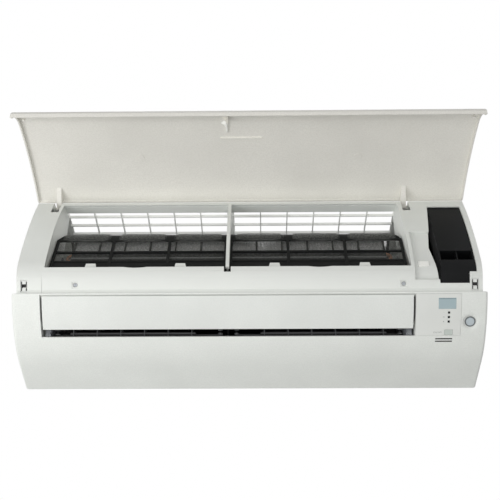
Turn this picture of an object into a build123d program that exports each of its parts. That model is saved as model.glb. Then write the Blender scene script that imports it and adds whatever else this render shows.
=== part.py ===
from build123d import *
from math import atan2, cos, degrees, radians, sin
import os

os.makedirs("parts", exist_ok=True)

# Wall air conditioner, indoor unit, with its front panel lifted open.
# X runs along the unit, the wall is the plane Y = 0 and the room is on the -Y side.
# Sections are drawn in (Y, height), where height is measured from the flat underside.
# The origin is the centre of the mounting plate's rear face, plate_height above the underside.

# ---------------------------------------------------------------- driving dimensions (mm)
plate_height = 160.0  # centre of the mounting plate above the underside
wall_gap = 0.5  # casing edges to the wall
fit = 0.3  # clearance between seated pieces
skin = 2.5  # moulded wall thickness

# lower cover
cover_width = 798.0
lip_depth = 200.0  # front lip to the wall
lip_height = 76.5
cover_knee = (-139.0, 22.0)  # where the front curve meets the belly curve
cover_belly = (-89.0, 2.6)  # where the belly curve meets the sloping underside
cover_rim = (-24.0, -10.5)  # lowest edge, in front of the rear bevel
cover_rear_height = 4.0
cover_edge_round = 5.0
cover_rim_round = 3.0
ledge_depth = 10.0
ledge_thickness = 1.8

# upper casing
frame_width = 785.0
frame_height = 301.0
top_edge_depth = 163.5
top_corner = (-169.0, 297.0)
front_belly = (-202.0, 198.1)
band_foot_depth = 190.5
brow_overhang = 23.2  # brow in front of the band's foot
brow_height = 131.0
brow_radius = 40.0
band_lean = 35.0  # degrees from the vertical
foot_strip = (4.0, 10.2)  # steeper strip under the band, its depth and height

# filter bay, outlet and everything centred on them
bay_margins = (46.5, 118.5)  # casing beside the filter bay, left and right
bay_bottom = 120.5
bay_top = 291.0
bay_wall_flare = 4.0
bay_wall_narrowing = 5.0
bay_wall_front_y = -230.0
bay_wall_knee_y = -154.0
bay_wall_rear_y = -130.0
post_width = 6.0
guide_width = 2.4
tab_offsets = (80.0, 232.7)
tab_base = 21.0
tab_top = 16.0
tab_rise = 9.0
finger_offset = 156.4
finger_chord = 40.0
finger_depth = 1.6

# intake lattice on top
lattice_bottom = 292.0
lattice_top = 297.0
lattice_strip = 6.5  # half the solid strip over the post
lattice_front_y = -148.3
lattice_rear_y = -12.0
lattice_bar = 2.0
lattice_rib = 2.0
lattice_bar_first_y = -133.2
lattice_bar_pitch = 25.5
lattice_bars = 5
lattice_cells = 6  # between ribs, in each half

# front panel, drawn closed and turned about the hinge
hinge_y = -154.0
hinge_height = 298.0
panel_open_angle = 83.7
panel_lip = (-200.5, 77.2)
panel_brow = (-224.5, 128.0)
panel_belly = (-211.5, 204.0)
panel_top = (-178.0, 302.0)
panel_end = (-171.0, 305.0)
panel_flange = 8.5
panel_lip_flange = 7.5
arm_margins = (10.0, 12.0)  # hinge arms outside the filter bay, left and right
arm_width = 9.0
arm_boss_radius = 5.5
arm_runs = (152.0, 176.0)  # where an arm leaves the panel, up its curve
hinge_pin_radius = 2.0
running = 0.1  # radial clearance of a pin in its hole
hinge_notch = 14.0
hinge_notch_bottom = 268.0
hinge_cheek = 3.5
hook_slot_height = 116.0
corner_hook_inset = 19.0
hook_width = 3.4
hook_tip = 3.0
corner_hook_tip = (-196.5, 91.4)
middle_hook_tip = (-205.5, 114.2)
hook_brace = 11.5
panel_mark_x = 197.0
panel_mark_radius = 7.0
panel_mark_run = 86.0
panel_mark_height = 0.8
panel_rib = (-50.0, 24.5)
panel_rib_run = 40.0
panel_rib_size = (2.4, 2.6)

# outlet and flap
outlet_overlap = 5.0  # outlet wider than the filter bay on each side
outlet_low = 77.0  # distance down the face from the lip
flap_gap = 3.5
flap_start = 5.0
flap_end = 63.0
flap_thickness = 2.6
flap_pivot = (-150.0, 45.0)
flap_pin_radius = 1.8
flap_arm = 2.5
flap_hub_radius = 4.2
flap_swing_radius = 15.0  # kept free round the pivot
rib_width = 3.0
jamb = 2.5

# fan and air path
fan_axis = (-102.0, 118.0)
fan_radius = 44.0
fan_inset = 30.0
fan_blades = 26
fan_discs = 7
shaft_radius = 4.0
scroll_radii = (53.25, 55.25, 57.25)  # middle of the scroll wall at its three angles
scroll_angles = (40.0, 0.0, -56.0)
duct_start = (-139.0, 26.9)
tongue = (-150.5, 104.0)
upper_duct_start = (-186.0, 80.4)
duct_inset = 9.0

# evaporator
coil_lean = 17.0
coil_thickness = 24.0
coil_foot = (-199.2, 107.0)
coil_front_top = 212.0
coil_rear_start = (-143.0, 199.0)
coil_rear_slope = 28.4
coil_rear_length = 118.0
coil_inset = 35.0
coil_plate = 1.0
tube_radius = 3.5
tube_pitch = 21.0

# filters
filter_foot = (-207.0, 116.0)
filter_thickness = 3.0
filter_straight = 95.0
filter_bend = 36.0
filter_tail = 45.0
filter_tail_slope = 20.0
filter_side_gap = 3.8
filter_inner_half = 2.2
filter_bar = 5.0
filter_corner = 14.0
mesh_thickness = 0.4

# vertical vanes, placed along the lower duct wall
vane_pivot_run = 34.0  # along the wall from its start
vane_first = 62.0
vane_last_gap = 36.5
vanes_in_bank = 6
vane_thickness = 1.5
vane_pin_radius = 1.6
rod_run = 16.0  # in front of the vane pivots
rod_pin_radius = 1.1

# right-hand end: module, display and receiver
module_margin = 9.0  # casing beside the module's opening
module_span = 59.5
module_bottom = 94.0
module_top = 279.0
module_face_inset = 3.0
opening_bulge = (14.0, 165.0)  # the opening's left edge bows out by this at this height
recess_span = 44.0
recess_depth = 6.0
recess_bottom = 99.0
recess_step = 202.0
plate_left_gap = 0.5
plate_right_margin = 44.3
plate_run = (3.5, 76.5)
plate_thickness = 1.5
window_x = (37.4, 66.8)  # from the display plate's left edge
window_run = (10.6, 29.3)
lens_x = 54.8
lens_runs = (35.5, 43.3, 51.1)
lens_radius = 1.8
button_x = 55.4
button_run = 70.6
button_size = (13.6, 9.4)
receiver_margin = 28.7
receiver_run = 51.6
receiver_radius = 8.9
receiver_lens_radius = 7.0
dish_radius = 14.5
vent_x = 48.3
vent_runs = (82.5, 87.2)
vent_length = 28.0
vent_width = 1.4

# fasteners and latches on the band
screw_margins = (99.5, 131.9)  # from the casing's left and right sides
screw_rise = 8.0  # up the band from its lower edge
screw_radius = 3.0
screw_shank = 1.6
screw_pad = 11.0
latch_margin = 12.5
latch_rise = 6.5
latch_size = (11.0, 19.0)
latch_depth = 8.0
latch_box = (17.0, 16.0)  # width, and height over the module's opening

# mounting plate
plate_half = 330.0
plate_span = 240.0
plate_sheet = 1.5
plate_hole_x = 500.0
plate_hole_z = 160.0
plate_hole_radius = 3.0

cover_half = cover_width / 2
frame_half = frame_width / 2
centre_x = (bay_margins[0] - bay_margins[1]) / 2
bay_half = (frame_width - bay_margins[0] - bay_margins[1]) / 2
bay_wall_front_half = bay_half + bay_wall_flare
bay_wall_rear_half = bay_half - bay_wall_narrowing
lattice_half = bay_wall_rear_half
outlet_half = bay_half + outlet_overlap
flap_half = outlet_half - flap_gap
fan_half = bay_half - fan_inset
duct_half = bay_half - duct_inset
coil_half = bay_half - coil_inset
filter_outer_half = bay_half - filter_side_gap
vane_pitch = (duct_half - vane_last_gap - vane_first) / (vanes_in_bank - 1)
arm_centres = (centre_x - bay_half - arm_margins[0], centre_x + bay_half + arm_margins[1])
brow_point = (-band_foot_depth - brow_overhang, brow_height)
band_low = (-band_foot_depth - foot_strip[0], lip_height + fit + foot_strip[1])
module_right = frame_half - module_margin
module_left = module_right - module_span
recess_left = module_left - recess_span
latch_x = (-frame_half + latch_margin, frame_half - latch_margin)
screw_x = (-frame_half + screw_margins[0], frame_half - screw_margins[1])
corner_hook_x = cover_half - corner_hook_inset
plate_x = (centre_x + outlet_half + plate_left_gap, cover_half - plate_right_margin)
receiver_x = cover_half - receiver_margin


# ---------------------------------------------------------------- planes
def section(x):
    """Plane across the unit at X = x: local (Y, height), normal +X."""
    return Plane(origin=(x, 0, -plate_height), x_dir=(0, 1, 0), z_dir=(1, 0, 0))


def level(height):
    """Horizontal plane: local (X, Y)."""
    return Plane.XY.offset(height - plate_height)


def elevation(y):
    """Upright plane facing the room: local (X, height), normal -Y."""
    return Plane(origin=(0, y, -plate_height), x_dir=(1, 0, 0), z_dir=(0, -1, 0))


def panel_section(x):
    """Section plane turned about the panel's hinge, so that a closed panel is drawn open."""
    c = cos(radians(panel_open_angle))
    s = sin(radians(panel_open_angle))
    y = hinge_y - (hinge_y * c + hinge_height * s)
    z = hinge_height - (hinge_height * c - hinge_y * s)
    return Plane(origin=(x, y, z - plate_height), x_dir=(0, c, -s), z_dir=(1, 0, 0))


def band_plane(x, rise):
    """Plane on the sloping band, rise mm up from its lower edge: local (X, up the band), facing out."""
    lean = radians(band_lean)
    y = band_low[0] - rise * sin(lean)
    z = band_low[1] + rise * cos(lean) - plate_height
    return Plane(origin=(x, y, z), x_dir=(1, 0, 0), z_dir=(0, -cos(lean), -sin(lean)))


# ---------------------------------------------------------------- lower cover outline
underside = Vector(*cover_belly) - Vector(*cover_rim)
with BuildLine() as cover_curve:
    cover_belly_curve = TangentArc(cover_belly, cover_knee, tangent=underside)
    cover_face_curve = TangentArc(cover_knee, (-lip_depth, lip_height), tangent=cover_belly_curve % 1)
cover_face_length = cover_face_curve.length


def on_face(run):
    """Point and outward normal (Y, height) on the cover's face, run mm down from the lip."""
    past = run - cover_face_length
    curve = cover_face_curve if past < 0 else cover_belly_curve
    place = -past / cover_face_length if past < 0 else 1 - past / cover_belly_curve.length
    along = curve % place
    return curve @ place, Vector(-along.Y, along.X)


def face_plane(x, run):
    """Plane on the cover's face at X = x: local (X, up the face), facing out."""
    point, normal = on_face(run)
    return Plane(
        origin=(x, point.X, point.Y - plate_height),
        x_dir=(1, 0, 0),
        z_dir=(0, normal.X, normal.Y),
    )


def cover_outline(plane, inset=0.0):
    """Area inside the lower cover's outside, drawn inwards by inset."""
    with BuildSketch(plane, mode=Mode.PRIVATE) as area:
        with BuildLine():
            low = TangentArc(cover_belly, cover_knee, tangent=underside)
            front = TangentArc(cover_knee, (-lip_depth, lip_height), tangent=low % 1)
            top = (-wall_gap, lip_height)
            rear = (-wall_gap, cover_rear_height)
            Polyline(front @ 1, top, rear, cover_rim, cover_belly)
        make_face()
        if inset:
            offset(amount=-inset, kind=Kind.INTERSECTION)
    return area.sketch


def cover_front_area(plane, inset=0.0):
    """Area behind the cover's face and belly, with the face run on straight above the lip."""
    run_on = 30.0
    with BuildSketch(plane, mode=Mode.PRIVATE) as area:
        with BuildLine():
            low = TangentArc(cover_belly, cover_knee, tangent=underside)
            front = TangentArc(cover_knee, (-lip_depth, lip_height), tangent=low % 1)
            above = front @ 1 + (front % 1) * run_on
            behind = Vector(above.X + lip_depth, above.Y)
            Polyline(front @ 1, above, behind, (behind.X, cover_belly[1]), cover_belly)
        make_face()
        if inset:
            offset(amount=-inset, kind=Kind.INTERSECTION)
    return area.sketch


def face_slice(plane, run_from, run_to, outside, inside):
    """Wedge across the cover's face from one run to another, outside to inside of the surface."""
    p0, n0 = on_face(run_from)
    p1, n1 = on_face(run_to)
    with BuildSketch(plane, mode=Mode.PRIVATE) as wedge:
        with BuildLine():
            Polyline(
                p0 + n0 * outside,
                p1 + n1 * outside,
                p1 - n1 * inside,
                p0 - n0 * inside,
                close=True,
            )
        make_face()
    return wedge.sketch


def face_band(x, run_from, run_to, inset_from, inset_to):
    """Strip that follows the cover's face, between two insets and two runs."""
    strip = cover_front_area(section(x), inset_from) - cover_front_area(section(x), inset_to)
    return strip & face_slice(section(x), run_from, run_to, 8.0, 12.0)


# ---------------------------------------------------------------- upper casing outline
def frame_outline(plane, inset=0.0):
    """Area inside the upper casing's outside, drawn inwards by inset."""
    with BuildSketch(plane, mode=Mode.PRIVATE) as area:
        with BuildLine():
            top = Line((-wall_gap, frame_height), (-top_edge_depth, frame_height))
            TangentArc(top @ 1, top_corner, tangent=(-1, 0))
            front = ThreePointArc(top_corner, front_belly, brow_point)
            heading = front % 1
            turn = -90 + band_lean - degrees(atan2(heading.Y, heading.X))
            brow = JernArc(brow_point, heading, brow_radius, turn)
            foot = (-band_foot_depth, lip_height + fit)
            Polyline(brow @ 1, band_low, foot, (-wall_gap, foot[1]), (-wall_gap, frame_height))
        make_face()
        if inset:
            offset(amount=-inset, kind=Kind.INTERSECTION)
    return area.sketch


def frame_front_area(plane, inset=0.0):
    """Area behind the casing's front, with the front run on straight above and below."""
    run_on = 60.0
    with BuildSketch(plane, mode=Mode.PRIVATE) as area:
        with BuildLine():
            front = ThreePointArc(top_corner, front_belly, brow_point)
            heading = front % 1
            turn = -90 + band_lean - degrees(atan2(heading.Y, heading.X))
            brow = JernArc(brow_point, heading, brow_radius, turn)
            top = front @ 0 - (front % 0) * run_on
            foot = Vector(-band_foot_depth, lip_height + fit)
            low = foot + (foot - Vector(*band_low)).normalized() * run_on
            Line(top, front @ 0)
            Polyline(brow @ 1, band_low, low, (0, low.Y), (0, top.Y), top)
        make_face()
        if inset:
            offset(amount=-inset, kind=Kind.INTERSECTION)
    return area.sketch


def frame_band(x, low, high, inset_from, inset_to):
    """Strip that follows the casing's front between two heights and two insets."""
    strip = frame_front_area(section(x), inset_from) - frame_front_area(section(x), inset_to)
    with BuildSketch(section(x), mode=Mode.PRIVATE) as rows:
        with Locations((-160.0, (low + high) / 2)):
            Rectangle(150.0, high - low)
    return strip & rows.sketch


def polygon(plane, *points):
    """Closed face through points of a plane."""
    with BuildSketch(plane, mode=Mode.PRIVATE) as area:
        with BuildLine():
            Polyline(*points, close=True)
        make_face()
    return area.sketch


def disc(plane, at, radius):
    """Round face at a point of a plane."""
    with BuildSketch(plane, mode=Mode.PRIVATE) as area:
        with Locations(at):
            Circle(radius)
    return area.sketch


def polar(centre, radius, angle):
    """Point at a radius and an angle in degrees from a centre."""
    return (centre[0] + radius * cos(radians(angle)), centre[1] + radius * sin(radians(angle)))


def finish(piece, name):
    """Label a finished piece and write its file."""
    piece.part.label = name
    export_step(piece.part, f"parts/{name}.step")


# ---------------------------------------------------------------- mounting plate
with BuildPart() as mounting_plate:
    with BuildSketch(Plane.XZ):
        RectangleRounded(2 * plate_half, plate_span, 12)
        with GridLocations(plate_hole_x, plate_hole_z, 2, 2):
            Circle(plate_hole_radius, mode=Mode.SUBTRACT)
        with GridLocations(2 * plate_half - 60, 1, 2, 1):
            Rectangle(34, 70, mode=Mode.SUBTRACT)
        with GridLocations(110, 90, 4, 2):
            Rectangle(60, 12, mode=Mode.SUBTRACT)
    extrude(amount=plate_sheet)
    with BuildSketch(section(-250)):
        with Locations((-plate_sheet - 2.7, 263.2)):
            Rectangle(5.5, 2.5)
        with Locations((-plate_sheet - 4.7, 267)):
            Rectangle(1.5, 10)
    hook = extrude(amount=28)
    mirror(hook, about=Plane.YZ)
finish(mounting_plate, "mounting_plate")

# ---------------------------------------------------------------- rear chassis
chassis_rear = -plate_sheet - fit
chassis_front = chassis_rear - skin
lower_end = polar(fan_axis, scroll_radii[2], scroll_angles[2])
scroll_mid = polar(fan_axis, scroll_radii[1], scroll_angles[1])
scroll_top = polar(fan_axis, scroll_radii[0], scroll_angles[0])
trough_height = 131.0
pan_floor = 103.5
chassis_half = frame_half - skin - fit
motor_left = centre_x + duct_half + skin + 6.5
motor_length = 52.0
motor_radius = 40.0

with BuildSketch(section(centre_x - duct_half - skin)) as air_walls:
    with BuildLine() as lower_wall:
        Line(duct_start, lower_end)
        ThreePointArc(lower_end, scroll_mid, scroll_top)
    trace(lower_wall.line, line_width=skin)
    with BuildLine() as upper_wall:
        Line(upper_duct_start, tongue)
    trace(upper_wall.line, line_width=skin)
    with BuildLine() as trough:
        Polyline((scroll_mid[0] - 0.6, trough_height + 3), (chassis_front + 1, trough_height))
    trace(trough.line, line_width=skin)

chassis_end = polygon(
    section(centre_x - duct_half - skin),
    (duct_start[0] - 0.3, duct_start[1] + 1.5),
    (upper_duct_start[0], upper_duct_start[1] - 1),
    (-188, 90),
    (-188, pan_floor - fit),
    (-155.5, pan_floor - fit),
    (-155.5, 116),
    (-142.5, 193),
    (-44, 139),
    (-44, trough_height + 2),
    (chassis_front + 1, trough_height),
    (chassis_front + 1, 16),
    (-70, 16),
    (-128, 24),
)

with BuildPart() as rear_chassis:
    with BuildSketch(elevation(chassis_rear)):
        with Locations((0, 155.1)):
            Rectangle(2 * chassis_half, 286.2)
        with Locations((-235, 267.5), (235, 267.5)):
            Rectangle(36, 19, mode=Mode.SUBTRACT)
    extrude(amount=skin)
    extrude(air_walls.sketch, amount=2 * (duct_half + skin))
    with Locations((0, 0, 0), (2 * duct_half + skin, 0, 0)):
        add(extrude(chassis_end, amount=skin, mode=Mode.PRIVATE))
    # room for the foot of the flap as it swings
    for x in (centre_x - duct_half - skin, centre_x + duct_half):
        extrude(disc(section(x), flap_pivot, flap_swing_radius), amount=skin, mode=Mode.SUBTRACT)
    # rib that holds the flap's middle pin
    with BuildSketch(section(centre_x - rib_width / 2)):
        add(polygon(Plane.XY, (-153, 48.5), (-128, 51), (-108, 47.5), (-120, 40), (-133, 43.5), (-150, 41.5)))
        with Locations(flap_pivot):
            Circle(flap_hub_radius)
            Circle(flap_pin_radius + running, mode=Mode.SUBTRACT)
    extrude(amount=rib_width)
    with BuildSketch(section(motor_left + 10)):
        with Locations(((fan_axis[0] + chassis_front) / 2, fan_axis[1] - 32)):
            Rectangle(chassis_front - fan_axis[0] + 2, 64)
        with Locations(fan_axis):
            Circle(motor_radius + fit, mode=Mode.SUBTRACT)
    saddle = extrude(amount=6)
    with Locations((26, 0, 0)):
        add(saddle)
    with BuildSketch(section(centre_x - duct_half - skin)):
        with Locations(fan_axis):
            Circle(12)
    extrude(amount=2 * (duct_half + skin), mode=Mode.SUBTRACT)
finish(rear_chassis, "rear_chassis")

# ---------------------------------------------------------------- upper casing
def bay_wall(side):
    """Slanting side wall of the filter bay, kept inside the casing's outline."""
    x0 = centre_x + side * bay_wall_front_half
    x1 = centre_x + side * bay_wall_rear_half
    out = side * skin
    plan = polygon(
        level(lip_height + fit),
        (x0, bay_wall_front_y),
        (x1, bay_wall_knee_y),
        (x1, bay_wall_rear_y),
        (x1 + out, bay_wall_rear_y),
        (x1 + out, bay_wall_knee_y),
        (x0 + out, bay_wall_front_y),
    )
    inside = extrude(frame_outline(section(-frame_half)), amount=frame_width, mode=Mode.PRIVATE)
    return extrude(plan, amount=frame_height - lip_height - fit, mode=Mode.PRIVATE) & inside


post_rear_gap = 0.8
post_foot_y = filter_foot[0] - post_rear_gap / cos(radians(coil_lean))
post_top_y = post_foot_y + (bay_top + 1 - filter_foot[1]) * sin(radians(coil_lean)) / cos(radians(coil_lean))
post_section = frame_outline(section(centre_x - post_width / 2)) & polygon(
    section(centre_x - post_width / 2),
    (-240, filter_foot[1]),
    (post_foot_y, filter_foot[1]),
    (post_top_y, bay_top + 1),
    (post_top_y, frame_height),
    (-240, frame_height),
)
guide_section = polygon(
    section(centre_x - guide_width / 2),
    (-209, 124),
    (-196, 122),
    (-147, 282),
    (-158, lattice_bottom + 1),
)
finger_radius = (finger_chord**2 / 4 + finger_depth**2) / (2 * finger_depth)
tab_y = brow_point[0] + 2.6
opening_left = (module_left, module_left - opening_bulge[0], module_left - 2.0)
module_opening = polygon(
    elevation(hinge_y - 8),
    (module_right, module_bottom),
    (opening_left[2], module_bottom),
    (opening_left[1], opening_bulge[1]),
    (opening_left[0], module_top),
    (module_right, module_top),
)

with BuildPart() as casing_frame:
    extrude(frame_outline(section(-frame_half)), amount=frame_width)
    extrude(frame_outline(section(-frame_half + skin), skin), amount=frame_width - 2 * skin, mode=Mode.SUBTRACT)
    with BuildSketch(section(-frame_half + skin)):
        with Locations(((-band_foot_depth + skin) / 2, lip_height + 2)):
            Rectangle(band_foot_depth - skin + 0.01, 8)
        with Locations((-2, (frame_height - skin + lip_height) / 2)):
            Rectangle(8, frame_height - skin - lip_height)
    extrude(amount=frame_width - 2 * skin, mode=Mode.SUBTRACT)
    # filter bay
    with Locations(level(bay_bottom)):
        with Locations((centre_x, -190, 0)):
            Box(2 * bay_half, 90, bay_top - bay_bottom, align=(Align.CENTER, Align.CENTER, Align.MIN), mode=Mode.SUBTRACT)
    add(bay_wall(-1))
    add(bay_wall(1))
    extrude(post_section, amount=post_width)
    extrude(guide_section, amount=guide_width)
    # beam along the lattice's front edge
    with BuildSketch(section(centre_x - bay_wall_rear_half - skin)):
        with Locations((lattice_front_y - skin / 2, (lattice_bottom + frame_height) / 2)):
            Rectangle(skin, frame_height - lattice_bottom)
        with Locations((lattice_front_y - 9, lattice_bottom + skin / 2 - 1)):
            Rectangle(18, skin)
    extrude(amount=2 * (bay_wall_rear_half + skin))
    # intake lattice
    for half in (-1, 1):
        lattice_mid = centre_x + half * (lattice_half + lattice_strip) / 2
        lattice_width = lattice_half - lattice_strip
        with Locations(level(lattice_bottom)):
            with Locations((lattice_mid, (lattice_front_y + lattice_rear_y) / 2, 0)):
                Box(lattice_width, lattice_front_y * -1 + lattice_rear_y, 20, mode=Mode.SUBTRACT)
            with Locations((lattice_mid, (lattice_front_y + lattice_rear_y) / 2, 20)):
                Box(lattice_width, lattice_front_y * -1 + lattice_rear_y, 40, mode=Mode.SUBTRACT)
        with BuildSketch(level(lattice_bottom)):
            for bar in range(lattice_bars):
                with Locations((lattice_mid, lattice_bar_first_y + bar * lattice_bar_pitch)):
                    Rectangle(lattice_width + 2, lattice_bar)
            for rib in range(1, lattice_cells):
                rib_x = lattice_mid + lattice_width * (rib / lattice_cells - 0.5)
                with Locations((rib_x, (lattice_front_y + lattice_rear_y) / 2)):
                    Rectangle(lattice_rib, lattice_front_y * -1 + lattice_rear_y + 2)
        extrude(amount=lattice_top - lattice_bottom)
    # ledge that the filters stand on
    with BuildSketch(section(centre_x - bay_half)):
        with Locations((-208.0, filter_foot[1] - 1.2 - fit - 1)):
            Rectangle(7.5, 2)
    extrude(amount=2 * bay_half)
    # hooked tabs and finger notches on the band's upper edge
    with BuildSketch(elevation(tab_y + 2)):
        for offset_x in (-tab_offsets[1], -tab_offsets[0], tab_offsets[0], tab_offsets[1]):
            with Locations((centre_x + offset_x, bay_bottom - 2 + (tab_rise + 2) / 2)):
                Trapezoid(tab_base, tab_rise + 2, degrees(atan2(tab_rise + 2, (tab_base - tab_top) / 2)))
    extrude(amount=2)
    with BuildSketch(elevation(-205)):
        with Locations(
            (centre_x - finger_offset, bay_bottom - finger_depth + finger_radius),
            (centre_x + finger_offset, bay_bottom - finger_depth + finger_radius),
        ):
            Circle(finger_radius)
    extrude(amount=14, mode=Mode.SUBTRACT)
    # slot for the panel's middle hook
    with BuildSketch(elevation(-200)):
        with Locations((centre_x, hook_slot_height)):
            Rectangle(11.5, 9.0)
    extrude(amount=20, mode=Mode.SUBTRACT)
    # bosses for the casing screws
    for x in screw_x:
        with BuildSketch(band_plane(x, screw_rise).offset(-8.5)):
            Rectangle(screw_pad + 2, screw_pad + 2)
        extrude(amount=8)
        with BuildSketch(band_plane(x, screw_rise).offset(-0.8)):
            Rectangle(screw_pad, screw_pad)
        extrude(amount=4, mode=Mode.SUBTRACT)
        with BuildSketch(band_plane(x, screw_rise).offset(-4)):
            Circle(screw_radius + 1)
        extrude(amount=8, mode=Mode.SUBTRACT)
        with BuildSketch(band_plane(x, screw_rise).offset(-15)):
            Circle(screw_shank + running)
        extrude(amount=15, mode=Mode.SUBTRACT)
    # recessed floor beside the module, with its edge fin
    x0 = recess_left
    floor_width = module_left - x0
    extrude(frame_band(x0, recess_bottom, recess_step, -1, recess_depth), amount=floor_width, mode=Mode.SUBTRACT)
    extrude(frame_band(x0 - skin, recess_bottom - 2, recess_step + 2, recess_depth, recess_depth + skin), amount=floor_width + skin + 2)
    extrude(frame_band(x0, recess_step, recess_step + 2, 0, recess_depth + 1), amount=floor_width)
    extrude(frame_band(x0, recess_bottom - 2, recess_bottom, 0, recess_depth + 1), amount=floor_width)
    # opening for the side module, with an inner wall on its right
    extrude(module_opening, amount=80, mode=Mode.SUBTRACT)
    extrude(frame_band(module_right, module_bottom - 2, module_top + 2, 0, 24), amount=skin)
    # latch boxes at both ends
    for x in latch_x:
        box = extrude(
            frame_band(x - latch_box[0] / 2, module_bottom - 9, module_bottom + latch_box[1], 0, latch_depth + 2),
            amount=latch_box[0],
            mode=Mode.PRIVATE,
        )
        add(box)
        with BuildSketch(band_plane(x, latch_rise).offset(-latch_depth)):
            Rectangle(latch_size[0] + 2 * fit, latch_size[1] + 2 * fit)
        extrude(amount=latch_depth + 5, mode=Mode.SUBTRACT)
    # notches and cheeks for the panel's hinge pins
    for x in arm_centres:
        with BuildSketch(section(x - hinge_notch / 2 - hinge_cheek)):
            with Locations((-162, frame_height - 8)):
                Rectangle(24, 15)
        cheeks = extrude(amount=hinge_notch + 2 * hinge_cheek, mode=Mode.PRIVATE)
        add(cheeks & extrude(frame_outline(section(-frame_half)), amount=frame_width, mode=Mode.PRIVATE))
        with BuildSketch(section(x - hinge_notch / 2)):
            with Locations((-170, (hinge_notch_bottom + frame_height + 4) / 2)):
                Rectangle(48, frame_height + 4 - hinge_notch_bottom)
        extrude(amount=hinge_notch, mode=Mode.SUBTRACT)
        with BuildSketch(section(x - hinge_notch / 2 - hinge_cheek - 1)):
            with Locations((hinge_y, hinge_height)):
                Circle(hinge_pin_radius + running)
        extrude(amount=hinge_notch + 2 * hinge_cheek + 2, mode=Mode.SUBTRACT)
finish(casing_frame, "casing_frame")

# ---------------------------------------------------------------- lower cover
with BuildPart() as lower_cover:
    extrude(cover_outline(section(-cover_half)), amount=cover_width)
    rim = lower_cover.edges().filter_by(Axis.X).sort_by(Axis.Z)[0]
    fillet(rim, radius=cover_rim_round)
    ends = lower_cover.faces().filter_by(Axis.X).edges()
    fillet(ends.filter_by(lambda e: e.center().Z < lip_height - plate_height - 5), radius=cover_edge_round)
    hollow = cover_outline(section(-cover_half + skin), skin) & polygon(
        section(-cover_half + skin), (-250, -20), (-250, lip_height - ledge_thickness), (5, lip_height - ledge_thickness), (5, -20)
    )
    extrude(hollow, amount=cover_width - 2 * skin, mode=Mode.SUBTRACT)
    with BuildSketch(section(-cover_half + skin)):
        with Locations((-2, (cover_rear_height + skin + lip_height - ledge_thickness) / 2)):
            Rectangle(8, lip_height - ledge_thickness - skin - cover_rear_height)
    extrude(amount=cover_width - 2 * skin, mode=Mode.SUBTRACT)
    with BuildSketch(level(lip_height - ledge_thickness - 1)):
        with Locations((0, (-lip_depth + ledge_depth + 2 + 5) / 2)):
            Rectangle(cover_width - 2 * ledge_depth + 4, lip_depth - ledge_depth - 2 + 5)
    extrude(amount=10, mode=Mode.SUBTRACT)
    # air outlet
    low_point, low_normal = on_face(outlet_low)
    outlet_cut = polygon(
        section(centre_x - outlet_half),
        (-220, lip_height - ledge_thickness),
        (-187, lip_height - ledge_thickness),
        low_point - low_normal * 5,
        low_point + low_normal * 5,
        (-220, (low_point + low_normal * 5).Y),
    )
    extrude(outlet_cut, amount=2 * outlet_half, mode=Mode.SUBTRACT)
    # jambs that carry the flap's end pins
    for x in (centre_x - outlet_half - jamb, centre_x + outlet_half):
        cheek = cover_outline(section(x), skin - 0.5) & polygon(
            section(x), (-205, 74.6), (-188, 74.6), (-134, 34), (-134, 12), (-205, 12)
        )
        extrude(cheek, amount=jamb)
        extrude(disc(section(x), flap_pivot, flap_pin_radius + running), amount=jamb, mode=Mode.SUBTRACT)
    # seat of the display plate, and the openings behind it
    extrude(
        face_band(plate_x[0] - fit, plate_run[0] - fit, plate_run[1] + fit, -1, plate_thickness),
        amount=plate_x[1] - plate_x[0] + 2 * fit,
        mode=Mode.SUBTRACT,
    )
    with BuildSketch(face_plane(plate_x[0] + button_x, button_run).offset(-8)):
        Rectangle(button_size[0] + 2 * fit, button_size[1] + 2 * fit)
    extrude(amount=8, mode=Mode.SUBTRACT)
    # receiver dish and vents
    with BuildSketch(face_plane(receiver_x, receiver_run).offset(-8)):
        Circle(receiver_radius + 0.2)
    extrude(amount=16, mode=Mode.SUBTRACT)
    with BuildSketch(face_plane(receiver_x, receiver_run).offset(-1.2)):
        Circle(receiver_radius + 1)
    with BuildSketch(face_plane(receiver_x, receiver_run).offset(0.6)):
        Circle(dish_radius)
    loft(mode=Mode.SUBTRACT)
    for run in vent_runs:
        with BuildSketch(face_plane(plate_x[0] + vent_x, run).offset(-5)):
            SlotOverall(vent_length, vent_width)
        extrude(amount=10, mode=Mode.SUBTRACT)
finish(lower_cover, "lower_cover")

# ---------------------------------------------------------------- front panel
def panel_outer():
    """Outside curve of the closed panel, from its lip up to its rear edge."""
    upper = ThreePointArc(panel_brow, panel_belly, panel_top)
    back = TangentArc(panel_top, panel_end, tangent=upper % 1)
    start = upper % 0
    lower = TangentArc(panel_brow, panel_lip, tangent=(-start.X, -start.Y))
    return upper, back, lower


def panel_strip(x, depth):
    """Section of the panel from its outside inwards by a depth."""
    with BuildSketch(panel_section(x), mode=Mode.PRIVATE) as area:
        with BuildLine():
            panel_outer()
            offset(amount=depth, side=Side.RIGHT)
        make_face()
    return area.sketch


def panel_at(run, depth):
    """Point of the closed panel, run mm up its curve from the brow and depth mm inside it."""
    with BuildLine(mode=Mode.PRIVATE):
        upper, back, lower = panel_outer()
    curve = upper if run >= 0 else lower
    along = curve % (abs(run) / curve.length)
    inward = Vector(along.Y, -along.X) if run >= 0 else Vector(-along.Y, along.X)
    return curve @ (abs(run) / curve.length) + inward * depth


def hook_section(x, tip, roots):
    """Prong on the panel's inner face, drawn closed, that points where the band's slot is."""
    tip_y, tip_height = tip
    return polygon(
        panel_section(x),
        panel_at(roots[0], skin / 2),
        panel_at(roots[1], skin / 2),
        (tip_y, tip_height - hook_tip / 2),
        (tip_y, tip_height + hook_tip / 2),
    )


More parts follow.
